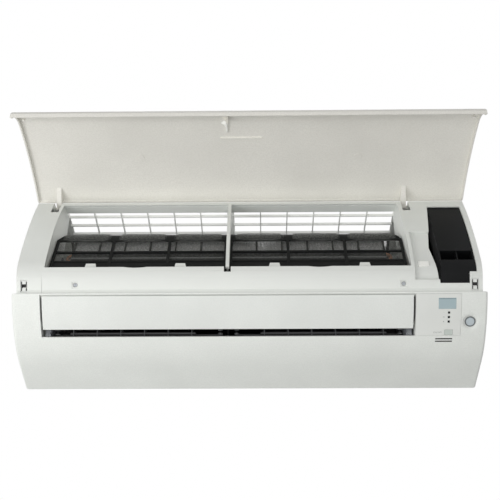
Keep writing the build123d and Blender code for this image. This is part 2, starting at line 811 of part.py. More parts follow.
def panel_spot(x, run):
    """Plane on the panel's inner face at X = x: local (X, up the panel), facing inwards."""
    at = panel_section(x).from_local_coords(panel_at(run, skin))
    further = panel_section(x).from_local_coords(panel_at(run, skin + 1))
    return Plane(origin=at, x_dir=(1, 0, 0), z_dir=further - at)


with BuildPart() as front_panel:
    extrude(panel_strip(-cover_half, skin), amount=cover_width)
    for x in (-cover_half, cover_half - skin):
        extrude(panel_strip(x, panel_flange), amount=skin)
    lip_return = polygon(
        panel_section(-cover_half),
        (panel_lip[0] + 0.6, panel_lip[1]),
        (panel_lip[0] + panel_lip_flange, panel_lip[1]),
        (panel_lip[0] + panel_lip_flange, panel_lip[1] + ledge_thickness),
        (panel_lip[0] - 0.6, panel_lip[1] + ledge_thickness),
    )
    extrude(lip_return, amount=cover_width)
    # hooks that snap into the band
    for x in (-corner_hook_x, corner_hook_x):
        extrude(hook_section(x - hook_width / 2, corner_hook_tip, (-29.0, -38.0)), amount=hook_width)
    extrude(hook_section(centre_x - hook_width / 2, middle_hook_tip, (-6.0, -15.0)), amount=hook_width)
    # brace of the middle hook, the rib under it and two round marks
    with BuildSketch(panel_spot(centre_x, -8.5).offset(-0.5)):
        with Locations((-hook_brace / 2, 0)):
            Rectangle(hook_brace, 2)
    with BuildSketch(panel_spot(centre_x, -8.5).offset(hook_brace - 3)):
        with Locations((-0.5, 0)):
            Rectangle(1, 2)
    loft()
    with BuildSketch(panel_spot((panel_rib[0] + panel_rib[1]) / 2, panel_rib_run).offset(-0.5)):
        Rectangle(panel_rib[1] - panel_rib[0], panel_rib_size[0])
    extrude(amount=panel_rib_size[1] + 0.5, taper=10)
    for x in (-panel_mark_x, panel_mark_x):
        with BuildSketch(panel_spot(x, panel_mark_run).offset(-0.5)):
            Circle(panel_mark_radius)
        extrude(amount=panel_mark_height + 0.5)
    # hinge arms with their pins
    for x in arm_centres:
        with BuildSketch(panel_section(x - arm_width / 2)):
            with BuildLine():
                Polyline(
                    panel_at(arm_runs[0], skin / 2),
                    (hinge_y - 1, hinge_height - arm_boss_radius),
                    (hinge_y, hinge_height + arm_boss_radius - 1.5),
                    panel_at(arm_runs[1], skin / 2),
                    close=True,
                )
            make_face()
            with Locations((hinge_y, hinge_height)):
                Circle(arm_boss_radius - 1.4)
        extrude(amount=arm_width)
        with BuildSketch(panel_section(x - hinge_notch / 2 - hinge_cheek)):
            with Locations((hinge_y, hinge_height)):
                Circle(hinge_pin_radius)
        extrude(amount=hinge_notch + 2 * hinge_cheek)
finish(front_panel, "front_panel")

# ---------------------------------------------------------------- outlet flap
flap_left = centre_x - flap_half
flap_shell = face_band(flap_left, flap_start, flap_end, 0, flap_thickness)
flap_foot, flap_foot_normal = on_face(flap_end - 3)
flap_root, flap_root_normal = on_face(flap_end - 16)
flap_arm_half = flap_half - 2
flap_arm_section = polygon(
    section(0),
    flap_foot - flap_foot_normal * (flap_thickness - 0.3),
    flap_root - flap_root_normal * (flap_thickness - 0.3),
    (flap_pivot[0] - 0.6, flap_pivot[1] + 3.4),
    (flap_pivot[0] + 2.8, flap_pivot[1] - 1.6),
) + disc(section(0), flap_pivot, 3.5)

with BuildPart() as flap:
    extrude(flap_shell, amount=2 * flap_half)
    for x in (centre_x - flap_half, centre_x + flap_half - flap_arm, centre_x - 6.5, centre_x + 4):
        with Locations((x, 0, 0)):
            add(extrude(flap_arm_section, amount=flap_arm, mode=Mode.PRIVATE))
    extrude(disc(section(centre_x - outlet_half - jamb), flap_pivot, flap_pin_radius), amount=outlet_half - flap_half + jamb)
    extrude(disc(section(centre_x + flap_half), flap_pivot, flap_pin_radius), amount=outlet_half - flap_half + jamb)
    extrude(disc(section(centre_x - 6.5), flap_pivot, flap_pin_radius), amount=13)
finish(flap, "flap")

# ---------------------------------------------------------------- air filters
def filter_strip(x, thickness, inset):
    """Bent section of a filter: straight front, bend over the top and tail to the rear."""
    lean = radians(90 - coil_lean)
    start = Vector(*filter_foot) + Vector(sin(lean), -cos(lean)) * (inset + thickness / 2)
    with BuildSketch(section(x), mode=Mode.PRIVATE) as area:
        with BuildLine() as path:
            up = PolarLine(start, filter_straight, 90 - coil_lean)
            bend = JernArc(up @ 1, up % 1, filter_bend - inset - thickness / 2, -(90 - coil_lean + filter_tail_slope))
            PolarLine(bend @ 1, filter_tail, -filter_tail_slope)
        trace(path.line, line_width=thickness)
    return area.sketch


def filter_outline(side):
    """Outline of a filter seen from the front, with its upper outer corner cut back."""
    inner = centre_x + side * filter_inner_half
    outer = centre_x + side * filter_outer_half
    top_in = outer - side * filter_corner
    bend_height = filter_foot[1] + filter_straight * cos(radians(coil_lean))
    return polygon(
        elevation(-100),
        (inner, 90),
        (outer, 90),
        (outer, bend_height - 4),
        (top_in, bend_height + 16),
        (top_in, 290),
        (inner, 290),
    )


window_rows = ((7.5, 27.0), (31.0, 54.0), (58.0, 88.0))


def filter_windows(side):
    """Openings of the straight part, in three columns and three rows, and of the bent top."""
    lean = radians(90 - coil_lean)
    front = Plane(
        origin=(0, filter_foot[0], filter_foot[1] - plate_height),
        x_dir=(1, 0, 0),
        z_dir=(0, -sin(lean), cos(lean)),
    )
    inner = filter_inner_half + filter_bar
    outer = filter_outer_half - filter_bar
    column = (outer - inner - 2 * filter_bar) / 3
    cuts = []
    for row_from, row_to in window_rows:
        for place in range(3):
            x = centre_x + side * (inner + column / 2 + place * (column + filter_bar))
            with BuildSketch(front.offset(-8), mode=Mode.PRIVATE) as hole:
                with Locations((x, (row_from + row_to) / 2)):
                    Rectangle(column, row_to - row_from)
            cuts.append(extrude(hole.sketch, amount=16, mode=Mode.PRIVATE))
    for place in range(3):
        narrow = filter_corner if place == 2 else 0
        x = centre_x + side * (inner + (column - narrow) / 2 + place * (column + filter_bar))
        with BuildSketch(level(190), mode=Mode.PRIVATE) as hole:
            with Locations((x, -125)):
                Rectangle(column - narrow, 66)
        cuts.append(extrude(hole.sketch, amount=60, mode=Mode.PRIVATE))
    return cuts


for name, side in (("left", -1), ("right", 1)):
    left_end = centre_x - filter_outer_half if side < 0 else centre_x + filter_inner_half
    filter_width = filter_outer_half - filter_inner_half
    shape = extrude(filter_outline(side), amount=140, both=True)
    with BuildPart() as filter_frame:
        extrude(filter_strip(left_end, filter_thickness, 0), amount=filter_width)
        add(shape, mode=Mode.INTERSECT)
        add(filter_windows(side), mode=Mode.SUBTRACT)
        for place in (-1, 1):
            with BuildSketch(elevation(filter_foot[0] + 1)):
                with Locations((centre_x + side * finger_offset + place * 14, filter_foot[1] + 4)):
                    Rectangle(6, 5)
            extrude(amount=2)
    finish(filter_frame, f"filter_{name}_frame")
    with BuildPart() as filter_mesh:
        extrude(filter_strip(left_end, mesh_thickness, filter_thickness), amount=filter_width)
        add(shape, mode=Mode.INTERSECT)
    finish(filter_mesh, f"filter_{name}_mesh")

# ---------------------------------------------------------------- side module
module_x0 = module_left
module_width = module_right - fit - module_x0
module_low = module_bottom + fit
module_high = module_top - 1.0
with BuildPart() as side_module:
    extrude(frame_band(module_x0, module_low, module_high, module_face_inset, 34), amount=module_width)
    extrude(
        frame_band(module_x0 + skin, module_low + skin, module_high - skin, module_face_inset + skin, 60),
        amount=module_width - 2 * skin,
        mode=Mode.SUBTRACT,
    )
    extrude(frame_band(module_x0, 132, 158, module_face_inset, 32.5), amount=module_width)
    # pocket with its divider
    extrude(
        frame_band(module_x0 + skin, 134.5, 155.5, 1, 30),
        amount=module_width - 2 * skin,
        mode=Mode.SUBTRACT,
    )
    extrude(frame_band(module_x0 + 30.0, 134, 156, module_face_inset + 1.5, 31), amount=1.6)
    # room for the latch box
    extrude(
        frame_band(latch_x[1] - latch_box[0] / 2 - 1, module_bottom - 9, module_bottom + latch_box[1] + 1, -1, 60),
        amount=latch_box[0] + 2,
        mode=Mode.SUBTRACT,
    )
finish(side_module, "side_module")

# ---------------------------------------------------------------- display, button and receiver
with BuildPart() as display_plate:
    extrude(face_band(plate_x[0], plate_run[0], plate_run[1], 0, plate_thickness), amount=plate_x[1] - plate_x[0])
    extrude(
        face_band(plate_x[0] + window_x[0], window_run[0], window_run[1], -1, 4),
        amount=window_x[1] - window_x[0],
        mode=Mode.SUBTRACT,
    )
    for run in lens_runs:
        with BuildSketch(face_plane(plate_x[0] + lens_x, run).offset(-4)):
            Circle(lens_radius)
        extrude(amount=8, mode=Mode.SUBTRACT)
    with BuildSketch(face_plane(plate_x[0] + button_x, button_run).offset(-4)):
        Rectangle(button_size[0] + 2 * fit, button_size[1] + 2 * fit)
    extrude(amount=8, mode=Mode.SUBTRACT)
finish(display_plate, "display_plate")

with BuildPart() as display_window:
    extrude(
        face_band(plate_x[0] + window_x[0] + 0.1, window_run[0] + 0.1, window_run[1] - 0.1, 0.3, plate_thickness),
        amount=window_x[1] - window_x[0] - 0.2,
    )
finish(display_window, "display_window")

with BuildPart() as status_lenses:
    for run in lens_runs:
        with BuildSketch(face_plane(plate_x[0] + lens_x, run).offset(-plate_thickness)):
            Circle(lens_radius - 0.1)
        extrude(amount=plate_thickness - 0.2)
finish(status_lenses, "status_lenses")

with BuildPart() as on_off_button:
    with BuildSketch(face_plane(plate_x[0] + button_x, button_run).offset(-5)):
        Rectangle(button_size[0], button_size[1])
    extrude(amount=5.0)
    outward = Axis((0, 0, 0), face_plane(plate_x[0] + button_x, button_run).z_dir)
    extrude(on_off_button.faces().sort_by(outward)[-1], amount=0.4, taper=45)
finish(on_off_button, "on_off_button")

with BuildPart() as receiver_ring:
    with BuildSketch(face_plane(receiver_x, receiver_run).offset(-4.5)):
        Circle(receiver_radius)
        Circle(receiver_lens_radius + 0.1, mode=Mode.SUBTRACT)
    extrude(amount=4.2)
finish(receiver_ring, "receiver_ring")

with BuildPart() as receiver_lens:
    with BuildSketch(face_plane(receiver_x, receiver_run).offset(-4.5)):
        Circle(receiver_lens_radius)
    extrude(amount=3.8)
finish(receiver_lens, "receiver_lens")

# ---------------------------------------------------------------- latches and screws on the band
with BuildPart() as latch_clips:
    for x in latch_x:
        with BuildSketch(band_plane(x, latch_rise).offset(-latch_depth)):
            Rectangle(latch_size[0], latch_size[1])
        extrude(amount=latch_depth - 0.4)
        with BuildSketch(band_plane(x, latch_rise).offset(-latch_depth + 1.5)):
            with Locations((-4, 0), (4, 0)):
                Rectangle(1.8, 16)
            Rectangle(8, 6.5)
        extrude(amount=latch_depth, mode=Mode.SUBTRACT)
finish(latch_clips, "latch_clips")

with BuildPart() as casing_screws:
    for x in screw_x:
        with BuildSketch(band_plane(x, screw_rise).offset(-4)):
            Circle(screw_radius)
        extrude(amount=2.4)
        with BuildSketch(band_plane(x, screw_rise).offset(-2.9)):
            Rectangle(3.6, 0.9)
            Rectangle(0.9, 3.6)
        extrude(amount=3, mode=Mode.SUBTRACT)
        with BuildSketch(band_plane(x, screw_rise).offset(-13.5)):
            Circle(screw_shank)
        extrude(amount=9.6)
finish(casing_screws, "casing_screws")

# ---------------------------------------------------------------- evaporator
lean_run = sin(radians(coil_lean)) / cos(radians(coil_lean))
coil_width = coil_thickness / cos(radians(coil_lean))
slope = radians(coil_rear_slope)
rear_dir = Vector(cos(slope), -sin(slope))
rear_normal = Vector(sin(slope), cos(slope))
rear_start = Vector(*coil_rear_start)
front_low_rear = (coil_foot[0] + coil_width, coil_foot[1])
front_top = (coil_foot[0] + (coil_front_top - coil_foot[1]) * lean_run, coil_front_top)
join_low = rear_start - rear_dir * fit
join_high = join_low + rear_normal * coil_thickness
coil_left = centre_x - coil_half

front_coil = polygon(section(coil_left), coil_foot, front_low_rear, join_low, join_high, front_top)
rear_coil = polygon(
    section(coil_left),
    rear_start,
    rear_start + rear_dir * coil_rear_length,
    rear_start + rear_dir * coil_rear_length + rear_normal * coil_thickness,
    rear_start + rear_normal * coil_thickness,
)

with BuildPart() as evaporator_front_fins:
    extrude(front_coil, amount=2 * coil_half)
finish(evaporator_front_fins, "evaporator_front_fins")

with BuildPart() as evaporator_rear_fins:
    extrude(rear_coil, amount=2 * coil_half)
finish(evaporator_rear_fins, "evaporator_rear_fins")

end_outline = front_coil + rear_coil + polygon(
    section(coil_left),
    join_low,
    rear_start,
    rear_start + rear_normal * coil_thickness,
    join_high,
)
with BuildPart() as evaporator_end_plates:
    with Locations((-coil_plate, 0, 0), (2 * coil_half, 0, 0)):
        add(extrude(end_outline, amount=coil_plate, mode=Mode.PRIVATE))
finish(evaporator_end_plates, "evaporator_end_plates")


def coil_tube_points():
    """Centres of the tube pairs along the middle of the fins."""
    lean = radians(90 - coil_lean)
    up = Vector(cos(lean), sin(lean))
    first = Vector(coil_foot[0] + coil_width / 2, coil_foot[1]) + up * 14
    pairs = [(first + up * (2 * k * tube_pitch), first + up * ((2 * k + 1) * tube_pitch)) for k in range(2)]
    start = rear_start + rear_normal * (coil_thickness / 2) + rear_dir * 12
    pairs += [(start + rear_dir * (2 * k * tube_pitch), start + rear_dir * ((2 * k + 1) * tube_pitch)) for k in range(2)]
    return pairs


with BuildPart() as evaporator_tubes:
    for a, b in coil_tube_points():
        for end in (-1, 1):
            x = centre_x + end * (coil_half + coil_plate)
            middle = (a + b) / 2
            axis = Axis((x, middle.X, middle.Y - plate_height), (0, -(b - a).Y, (b - a).X))
            with BuildSketch(section(x)):
                with Locations((a.X, a.Y)):
                    RegularPolygon(tube_radius, 6)
            revolve(axis=axis, revolution_arc=180 * end)
finish(evaporator_tubes, "evaporator_tubes")

# ---------------------------------------------------------------- drain pan
pan_half = duct_half + 1.8
pan_outer = ((-203.0, 112.0), (-199.8, pan_floor), (-160.0, pan_floor), (-157.5, 112.5))
pan_wall = 1.5
with BuildPart() as drain_pan:
    pan_shape = polygon(section(centre_x - pan_half), *pan_outer)
    extrude(pan_shape, amount=2 * pan_half)
    with BuildSketch(section(centre_x - pan_half + pan_wall)):
        add(polygon(Plane.XY, *pan_outer))
        offset(amount=-pan_wall, kind=Kind.INTERSECTION)
        with Locations((-180, 113)):
            Rectangle(41, 9, mode=Mode.ADD)
    extrude(amount=2 * (pan_half - pan_wall), mode=Mode.SUBTRACT)
    # ribs that the fins stand on
    with BuildSketch(level(pan_floor + 1)):
        with GridLocations(60, 1, 10, 1):
            with Locations((centre_x, -184)):
                Rectangle(2, 20)
    extrude(amount=coil_foot[1] - fit - pan_floor - 1)
finish(drain_pan, "drain_pan")

# ---------------------------------------------------------------- fan
def fan_plane(x):
    """Plane across the fan's axis: local (Y, height) from the axis."""
    return Plane(origin=(x, fan_axis[0], fan_axis[1] - plate_height), x_dir=(0, 1, 0), z_dir=(1, 0, 0))


blade_inner = fan_radius - 11
with BuildPart() as fan_wheel:
    with BuildSketch(fan_plane(centre_x - fan_half)) as blade:
        with PolarLocations(0, fan_blades):
            with BuildLine():
                Polyline(
                    (blade_inner, -0.6),
                    (blade_inner + 5.5, 1.6),
                    (fan_radius, 6.0),
                    (fan_radius - 0.6, 7.0),
                    (blade_inner + 5.0, 3.0),
                    (blade_inner, 0.6),
                    close=True,
                )
            make_face()
    extrude(amount=2 * fan_half)
    for disc_no in range(fan_discs):
        x = centre_x - fan_half + disc_no * (2 * fan_half - 2) / (fan_discs - 1)
        with BuildSketch(fan_plane(x)):
            Circle(fan_radius)
            Circle(blade_inner - 3, mode=Mode.SUBTRACT)
        extrude(amount=2)
    for x in (centre_x - fan_half, centre_x + fan_half - 12):
        with BuildSketch(fan_plane(x)):
            Circle(9)
            Circle(shaft_radius, mode=Mode.SUBTRACT)
        extrude(amount=12)
    for x in (centre_x - fan_half, centre_x + fan_half - 2):
        with BuildSketch(fan_plane(x)):
            Circle(blade_inner - 2)
            Circle(shaft_radius, mode=Mode.SUBTRACT)
        extrude(amount=2)
finish(fan_wheel, "fan_wheel")

with BuildPart() as fan_shafts:
    with BuildSketch(fan_plane(centre_x - duct_half - skin - 1)):
        Circle(shaft_radius)
    extrude(amount=duct_half + skin + 1 - fan_half + 12)
    with BuildSketch(fan_plane(centre_x + fan_half - 12)):
        Circle(shaft_radius)
    extrude(amount=motor_left - fit - (centre_x + fan_half - 12))
finish(fan_shafts, "fan_shafts")

with BuildPart() as fan_bearing:
    with BuildSketch(fan_plane(centre_x - duct_half - skin - 1)):
        Circle(12)
        Circle(shaft_radius + 0.05, mode=Mode.SUBTRACT)
    extrude(amount=6)
finish(fan_bearing, "fan_bearing")

with BuildPart() as fan_motor:
    with BuildSketch(fan_plane(motor_left)):
        Circle(motor_radius)
    extrude(amount=motor_length)
    chamfer(fan_motor.edges().filter_by(GeomType.CIRCLE), length=3)
    with BuildSketch(fan_plane(motor_left + motor_length)):
        Circle(11)
    extrude(amount=5)
finish(fan_motor, "fan_motor")

# ---------------------------------------------------------------- control box
box_centre = (frame_half - 54.5, 228)
box_size = (84.0, 104.0)
box_wall = 2.0
with BuildPart() as control_box:
    with BuildSketch(elevation(chassis_front - fit)):
        with Locations(box_centre):
            Rectangle(*box_size)
    extrude(amount=126)
    with BuildSketch(elevation(chassis_front - fit - 3)):
        with Locations(box_centre):
            Rectangle(box_size[0] - 2 * box_wall, box_size[1] - 2 * box_wall)
    extrude(amount=126, mode=Mode.SUBTRACT)
finish(control_box, "control_box")

with BuildPart() as control_board:
    with BuildSketch(elevation(chassis_front - fit - 8)):
        with Locations(box_centre):
            Rectangle(box_size[0] - 2 * (box_wall + fit), box_size[1] - 2 * (box_wall + fit))
    extrude(amount=1.6)
    with BuildSketch(elevation(chassis_front - fit - 9.6)):
        with Locations(box_centre):
            with Locations((-20, 22), (14, -23)):
                Rectangle(28, 30)
            with Locations((17, 24)):
                Circle(11)
    extrude(amount=28)
finish(control_board, "control_board")

# ---------------------------------------------------------------- vertical vanes
duct_run = Vector(*lower_end) - Vector(*duct_start)
duct_dir = duct_run / duct_run.length
duct_up = Vector(-duct_dir.Y, duct_dir.X)
duct_floor = Vector(*duct_start) + duct_up * (skin / 2)


def vane_section(x):
    """Plane across a vane: local (run behind the pivot, height above the duct's lower wall)."""
    pivot = duct_floor + duct_dir * vane_pivot_run
    return Plane(
        origin=(x, pivot.X, pivot.Y - plate_height),
        x_dir=(0, duct_dir.X, duct_dir.Y),
        z_dir=(1, 0, 0),
    )


def vane_floor(x, rise):
    """Plane on the duct's lower wall at a vane's pivot, raised by rise: local (run, -X)."""
    pivot = duct_floor + duct_dir * vane_pivot_run + duct_up * rise
    return Plane(
        origin=(x, pivot.X, pivot.Y - plate_height),
        x_dir=(0, duct_dir.X, duct_dir.Y),
        z_dir=(0, duct_up.X, duct_up.Y),
    )


strip_rise = fit
strip_thickness = 2.5
vane_rise = strip_rise + strip_thickness + fit
rod_rise = 3.4
rod_height = 3.0
vane_outline = (
    (-20.0, 9.0),
    (-5.0, 9.0),
    (-5.0, vane_rise),
    (5.0, vane_rise),
    (10.0, 8.0),
    (10.0, 18.0),
    (0.0, 36.0),
    (-2.0, 50.0),
    (-14.0, 52.0),
    (-22.0, 34.0),
)
for bank, side in (("left", -1), ("right", 1)):
    places = [centre_x + side * (vane_first + number * vane_pitch) for number in range(vanes_in_bank)]
    for number, x in enumerate(places, start=1):
        with BuildPart() as vane:
            with BuildSketch(vane_section(x)):
                with BuildLine():
                    Polyline(*vane_outline, close=True)
                make_face()
            extrude(amount=vane_thickness / 2, both=True)
            with BuildSketch(vane_floor(x, vane_rise)):
                Circle(3)
            extrude(amount=5)
            with BuildSketch(vane_floor(x, strip_rise + 0.3)):
                Circle(vane_pin_radius)
            extrude(amount=vane_rise - strip_rise)
            with BuildSketch(vane_floor(x, rod_rise - 0.4)):
                with Locations((-rod_run, 0)):
                    Circle(rod_pin_radius)
            extrude(amount=9.5 - rod_rise + 0.4)
        finish(vane, f"vane_{bank}_{number}")
    with BuildPart() as vane_rod:
        with BuildSketch(vane_floor(0, rod_rise)):
            with Locations((-rod_run, -(places[0] + places[-1]) / 2)):
                SlotOverall(abs(places[-1] - places[0]) + 14, 4.4, rotation=90)
            with Locations(*[(-rod_run, -x) for x in places]):
                Circle(rod_pin_radius + running, mode=Mode.SUBTRACT)
        extrude(amount=rod_height)
    finish(vane_rod, f"vane_rod_{bank}")
    with BuildPart() as vane_support:
        ends = (centre_x + side * 14.0, centre_x + side * (duct_half - 4.5))
        with BuildSketch(vane_floor(0, strip_rise)):
            with Locations((0, -(ends[0] + ends[1]) / 2)):
                Rectangle(10, abs(ends[1] - ends[0]))
            with Locations(*[(0, -x) for x in ends]):
                Circle(4.2)
            with Locations(*[(0, -x) for x in places]):
                Circle(vane_pin_radius + running, mode=Mode.SUBTRACT)
        extrude(amount=strip_thickness)
        with BuildSketch(vane_floor(0, strip_rise + strip_thickness)):
            with Locations(*[(0, -x) for x in ends]):
                Circle(3.6)
        extrude(amount=4)
    finish(vane_support, f"vane_support_{bank}")

# ---------------------------------------------------------------- small motors
with BuildPart() as vane_motors:
    for side in (-1, 1):
        with BuildSketch(vane_floor(centre_x + side * 40, -skin - fit)):
            Circle(12)
        extrude(amount=-11)
finish(vane_motors, "vane_motors")

with BuildPart() as flap_motor:
    with BuildSketch(section(centre_x - outlet_half - jamb - fit)):
        with Locations((flap_pivot[0] + 6, flap_pivot[1] + 4)):
            Circle(12)
    extrude(amount=-14)
finish(flap_motor, "flap_motor")
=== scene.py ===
import math

import bmesh
import bpy
from mathutils import Matrix, Vector


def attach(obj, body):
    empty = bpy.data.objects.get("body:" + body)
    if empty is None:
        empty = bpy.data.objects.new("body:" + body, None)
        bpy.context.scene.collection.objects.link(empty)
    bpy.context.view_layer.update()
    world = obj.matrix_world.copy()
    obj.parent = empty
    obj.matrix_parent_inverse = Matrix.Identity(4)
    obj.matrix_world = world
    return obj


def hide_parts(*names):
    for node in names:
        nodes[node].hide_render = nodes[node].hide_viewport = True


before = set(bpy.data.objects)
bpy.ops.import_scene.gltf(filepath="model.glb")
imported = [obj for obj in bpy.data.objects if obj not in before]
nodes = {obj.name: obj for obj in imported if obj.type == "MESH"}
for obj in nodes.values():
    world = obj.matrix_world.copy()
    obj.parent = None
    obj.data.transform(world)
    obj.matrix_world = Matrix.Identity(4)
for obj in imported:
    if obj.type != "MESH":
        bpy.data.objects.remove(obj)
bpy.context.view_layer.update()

# Sizes are in mm, heights are measured from the underside of the unit, and a section's points
# and directions are pairs of Y and height.
MM = 0.001
PLATE_HEIGHT = 160.0  # the scene's origin above the underside
CENTRE_X = -36.0  # middle of the filter bay and the outlet
ALONG_X = Vector((1, 0, 0))
BAND_LEAN = math.radians(35)
BAND_POINT = Vector((-194.5, 87.0))  # a point of the sloped band's outer face


def level(height):
    """A height above the underside as a Z in the scene."""
    return (height - PLATE_HEIGHT) * MM


def at(x, y, height):
    """A point of the unit in the scene's metres."""
    return Vector((x * MM, y * MM, level(height)))


def square_to(direction):
    """A section's direction turned a quarter, towards the outside."""
    return Vector((-direction.y, direction.x))


def heading(degrees):
    return Vector((math.cos(math.radians(degrees)), math.sin(math.radians(degrees))))


DUCT_FOOT = Vector((-139.0, 26.9))  # front end of the duct's lower wall
DUCT_RUN = Vector((0.8455, 0.5340))
DUCT_UP = square_to(DUCT_RUN)
DUCT_HALF = 300.7  # just inside the duct's end walls, from the centre


# ---------------------------------------------------------------- shader tools
class Signal:
    """A number in a finish's shader that can be used in a Python expression."""

    def __init__(self, finish, socket):
        self.finish = finish
        self.socket = socket

    def worked(self, operation, *inputs):
        """The result of one operation on numbers and signals."""
        settings = {"operation": operation}
        return self.finish.node("ShaderNodeMath", settings, dict(enumerate(inputs)))["Value"]

    def __add__(self, other):
        return self.worked("ADD", self, other)

    def __sub__(self, other):
        return self.worked("SUBTRACT", self, other)

    def __mul__(self, other):
        return self.worked("MULTIPLY", self, other)

    def __rsub__(self, other):
        return self.worked("SUBTRACT", other, self)

    __radd__ = __add__
    __rmul__ = __mul__

    def above(self, limit):
        return self.worked("GREATER_THAN", self, limit)

    def below(self, limit):
        return self.worked("LESS_THAN", self, limit)

    def size(self):
        return self.worked("ABSOLUTE", self)


class Outputs:
    """The output sockets of a node, by name, as signals."""

    def __init__(self, finish, node):
        self.finish = finish
        self.node = node

    def __getitem__(self, name):
        return Signal(self.finish, self.node.outputs[name])


class Finish:
    """A procedural material on one Principled shader, read in the piece's own coordinates."""

    def __init__(self, name, **values):
        self.material = bpy.data.materials.new(name)
        self.material.use_nodes = True
        self.tree = self.material.node_tree
        self.shader = self.tree.nodes["Principled BSDF"]
        for socket, value in values.items():
            self.shader.inputs[socket.replace("_", " ")].default_value = value
        self.place = self.node("ShaderNodeTexCoord")["Object"]

    def node(self, kind, settings=None, sockets=None):
        made = self.tree.nodes.new(kind)
        for name, value in (settings or {}).items():
            setattr(made, name, value)
        for name, value in (sockets or {}).items():
            self.set(made.inputs[name], value)
        return Outputs(self, made)

    def set(self, socket, value):
        if isinstance(value, Signal):
            self.tree.links.new(value.socket, socket)
        elif isinstance(value, tuple) and len(value) == 3 and socket.type == "RGBA":
            socket.default_value = (*value, 1.0)
        else:
            socket.default_value = value

    def drive(self, socket, value):
        self.set(self.shader.inputs[socket], value)

    def noise(self, scale, detail=2.0, roughness=0.5):
        """Soft mottling with about scale lumps to the metre."""
        sockets = {"Vector": self.place, "Scale": scale, "Detail": detail, "Roughness": roughness}
        return self.node("ShaderNodeTexNoise", None, sockets)

    def axis(self, name):
        return self.node("ShaderNodeSeparateXYZ", None, {"Vector": self.place})[name]

    def blend(self, share, first, second):
        """A colour between two others."""
        sockets = {"Factor": share, 6: first, 7: second}
        mixed = self.node("ShaderNodeMix", {"data_type": "RGBA"}, sockets)
        return Signal(self, mixed.node.outputs[2])

    def ramp(self, value, low, high, to_low=0.0, to_high=1.0):
        """A number carried from one range to another and held at its ends."""
        ends = {"From Min": low, "From Max": high, "To Min": to_low, "To Max": to_high}
        return self.node("ShaderNodeMapRange", {"clamp": True}, {"Value": value, **ends})["Result"]

    def relief(self, height, depth, edge=0.0):
        """Bump of a depth in metres, with edges rounded to a radius in metres."""
        sockets = {"Height": height, "Distance": depth, "Strength": 1.0}
        if edge:
            rounded = self.node("ShaderNodeBevel", {"samples": 6}, {"Radius": edge})
            sockets["Normal"] = rounded["Normal"]
        self.drive("Normal", self.node("ShaderNodeBump", None, sockets)["Normal"])


def shade(piece, finish):
    piece.data.materials.clear()
    piece.data.materials.append(finish.material)


# ---------------------------------------------------------------- finishes
GLOSS_SWING = 0.05
GRAIN = 1400.0  # specks to the metre
GRAIN_DEPTH = 0.00002
FLECKED_GRAIN = 1600.0
FLECKED_DEPTH = 0.00003
SOFT_EDGE = 0.0007


def moulded(
    name,
    colour,
    roughness=0.45,
    grain=GRAIN,
    grain_depth=GRAIN_DEPTH,
    edge=SOFT_EDGE,
    mottle=0.03,
    refraction=1.5,
):
    """Injection moulded plastic: fine grain, soft edges and faintly uneven tone and gloss."""
    finish = Finish(name, IOR=refraction)
    cloud = finish.noise(9.0, 3.0)["Fac"]
    speck = finish.noise(grain, 1.0)["Fac"]
    darker = tuple(c * (1 - mottle) for c in colour)
    lighter = tuple(min(1.0, c * (1 + mottle)) for c in colour)
    finish.tone = finish.blend(finish.ramp(cloud, 0.35, 0.65), darker, lighter)
    finish.drive("Base Color", finish.tone)
    gloss = (roughness - GLOSS_SWING, roughness + GLOSS_SWING)
    finish.drive("Roughness", finish.ramp(cloud + (speck - 0.5) * 0.3, 0.3, 0.7, *gloss))
    finish.relief(speck, grain_depth, edge)
    return finish


def speckled(name, colour, fleck, scale, amount):
    """Moulded plastic whose surface shows fine lighter and darker flecks."""
    finish = moulded(name, colour, 0.5, FLECKED_GRAIN, FLECKED_DEPTH)
    fine = finish.noise(scale, 2.0, 0.7)["Fac"]
    share = finish.ramp(fine, 0.35, 0.65, 0.0, amount)
    finish.drive("Base Color", finish.blend(share, finish.tone, fleck))
    return finish


flap_white = speckled("flap_white", (0.76, 0.78, 0.75), (0.68, 0.70, 0.67), 520.0, 0.4)
panel_white = speckled("panel_white", (0.84, 0.825, 0.77), (0.74, 0.725, 0.67), 420.0, 0.6)
plate_white = moulded("plate_white", (0.75, 0.765, 0.735), 0.4, edge=0.0002)
key_white = moulded("key_white", (0.56, 0.61, 0.57), 0.4, edge=0.0004)
module_black = moulded(
    "module_black", (0.008, 0.0085, 0.009), 0.42, 1100.0, 0.00003, 0.0006, 0.15, refraction=1.21
)
box_black = moulded("box_black", (0.012, 0.012, 0.013), 0.5, refraction=1.3)
fan_black = moulded("fan_black", (0.018, 0.019, 0.02), 0.5, refraction=1.3)
bead_grey = moulded("bead_grey", (0.34, 0.35, 0.36), 0.5, edge=0.0)
# Painted highlight: a paler grey for thin lines along the dark vanes and rods.
painted_highlight_grey = moulded("painted_highlight_grey", (0.11, 0.115, 0.12), 0.5, edge=0.0)
# Painted light: a bluish white paler than the cover's, for plates deep in the outlet that look
# lit.
curtain_painted_light = moulded("curtain_painted_light", (0.88, 0.91, 0.95), 0.5, edge=0.0)
# Painted light: a white brighter than the casing's and the panel's, for small parts that catch the
# light.
painted_light_white = moulded("painted_light_white", (0.96, 0.96, 0.92), 0.45, edge=0.0003)
vane_grey = moulded("vane_grey", (0.020, 0.021, 0.023), 0.5, edge=0.0003, refraction=1.35)
rod_grey = moulded("rod_grey", (0.014, 0.0145, 0.015), 0.5, edge=0.0003)
support_grey = moulded("support_grey", (0.016, 0.017, 0.018), 0.5, edge=0.0003)
filter_frame = moulded("filter_frame", (0.011, 0.012, 0.012), 0.4, edge=0.0004, refraction=1.17)
pan_white = moulded("pan_white", (0.30, 0.31, 0.31), 0.6)
motor_grey = moulded("motor_grey", (0.10, 0.105, 0.11), 0.4)
board_green = moulded("board_green", (0.03, 0.12, 0.05), 0.4)
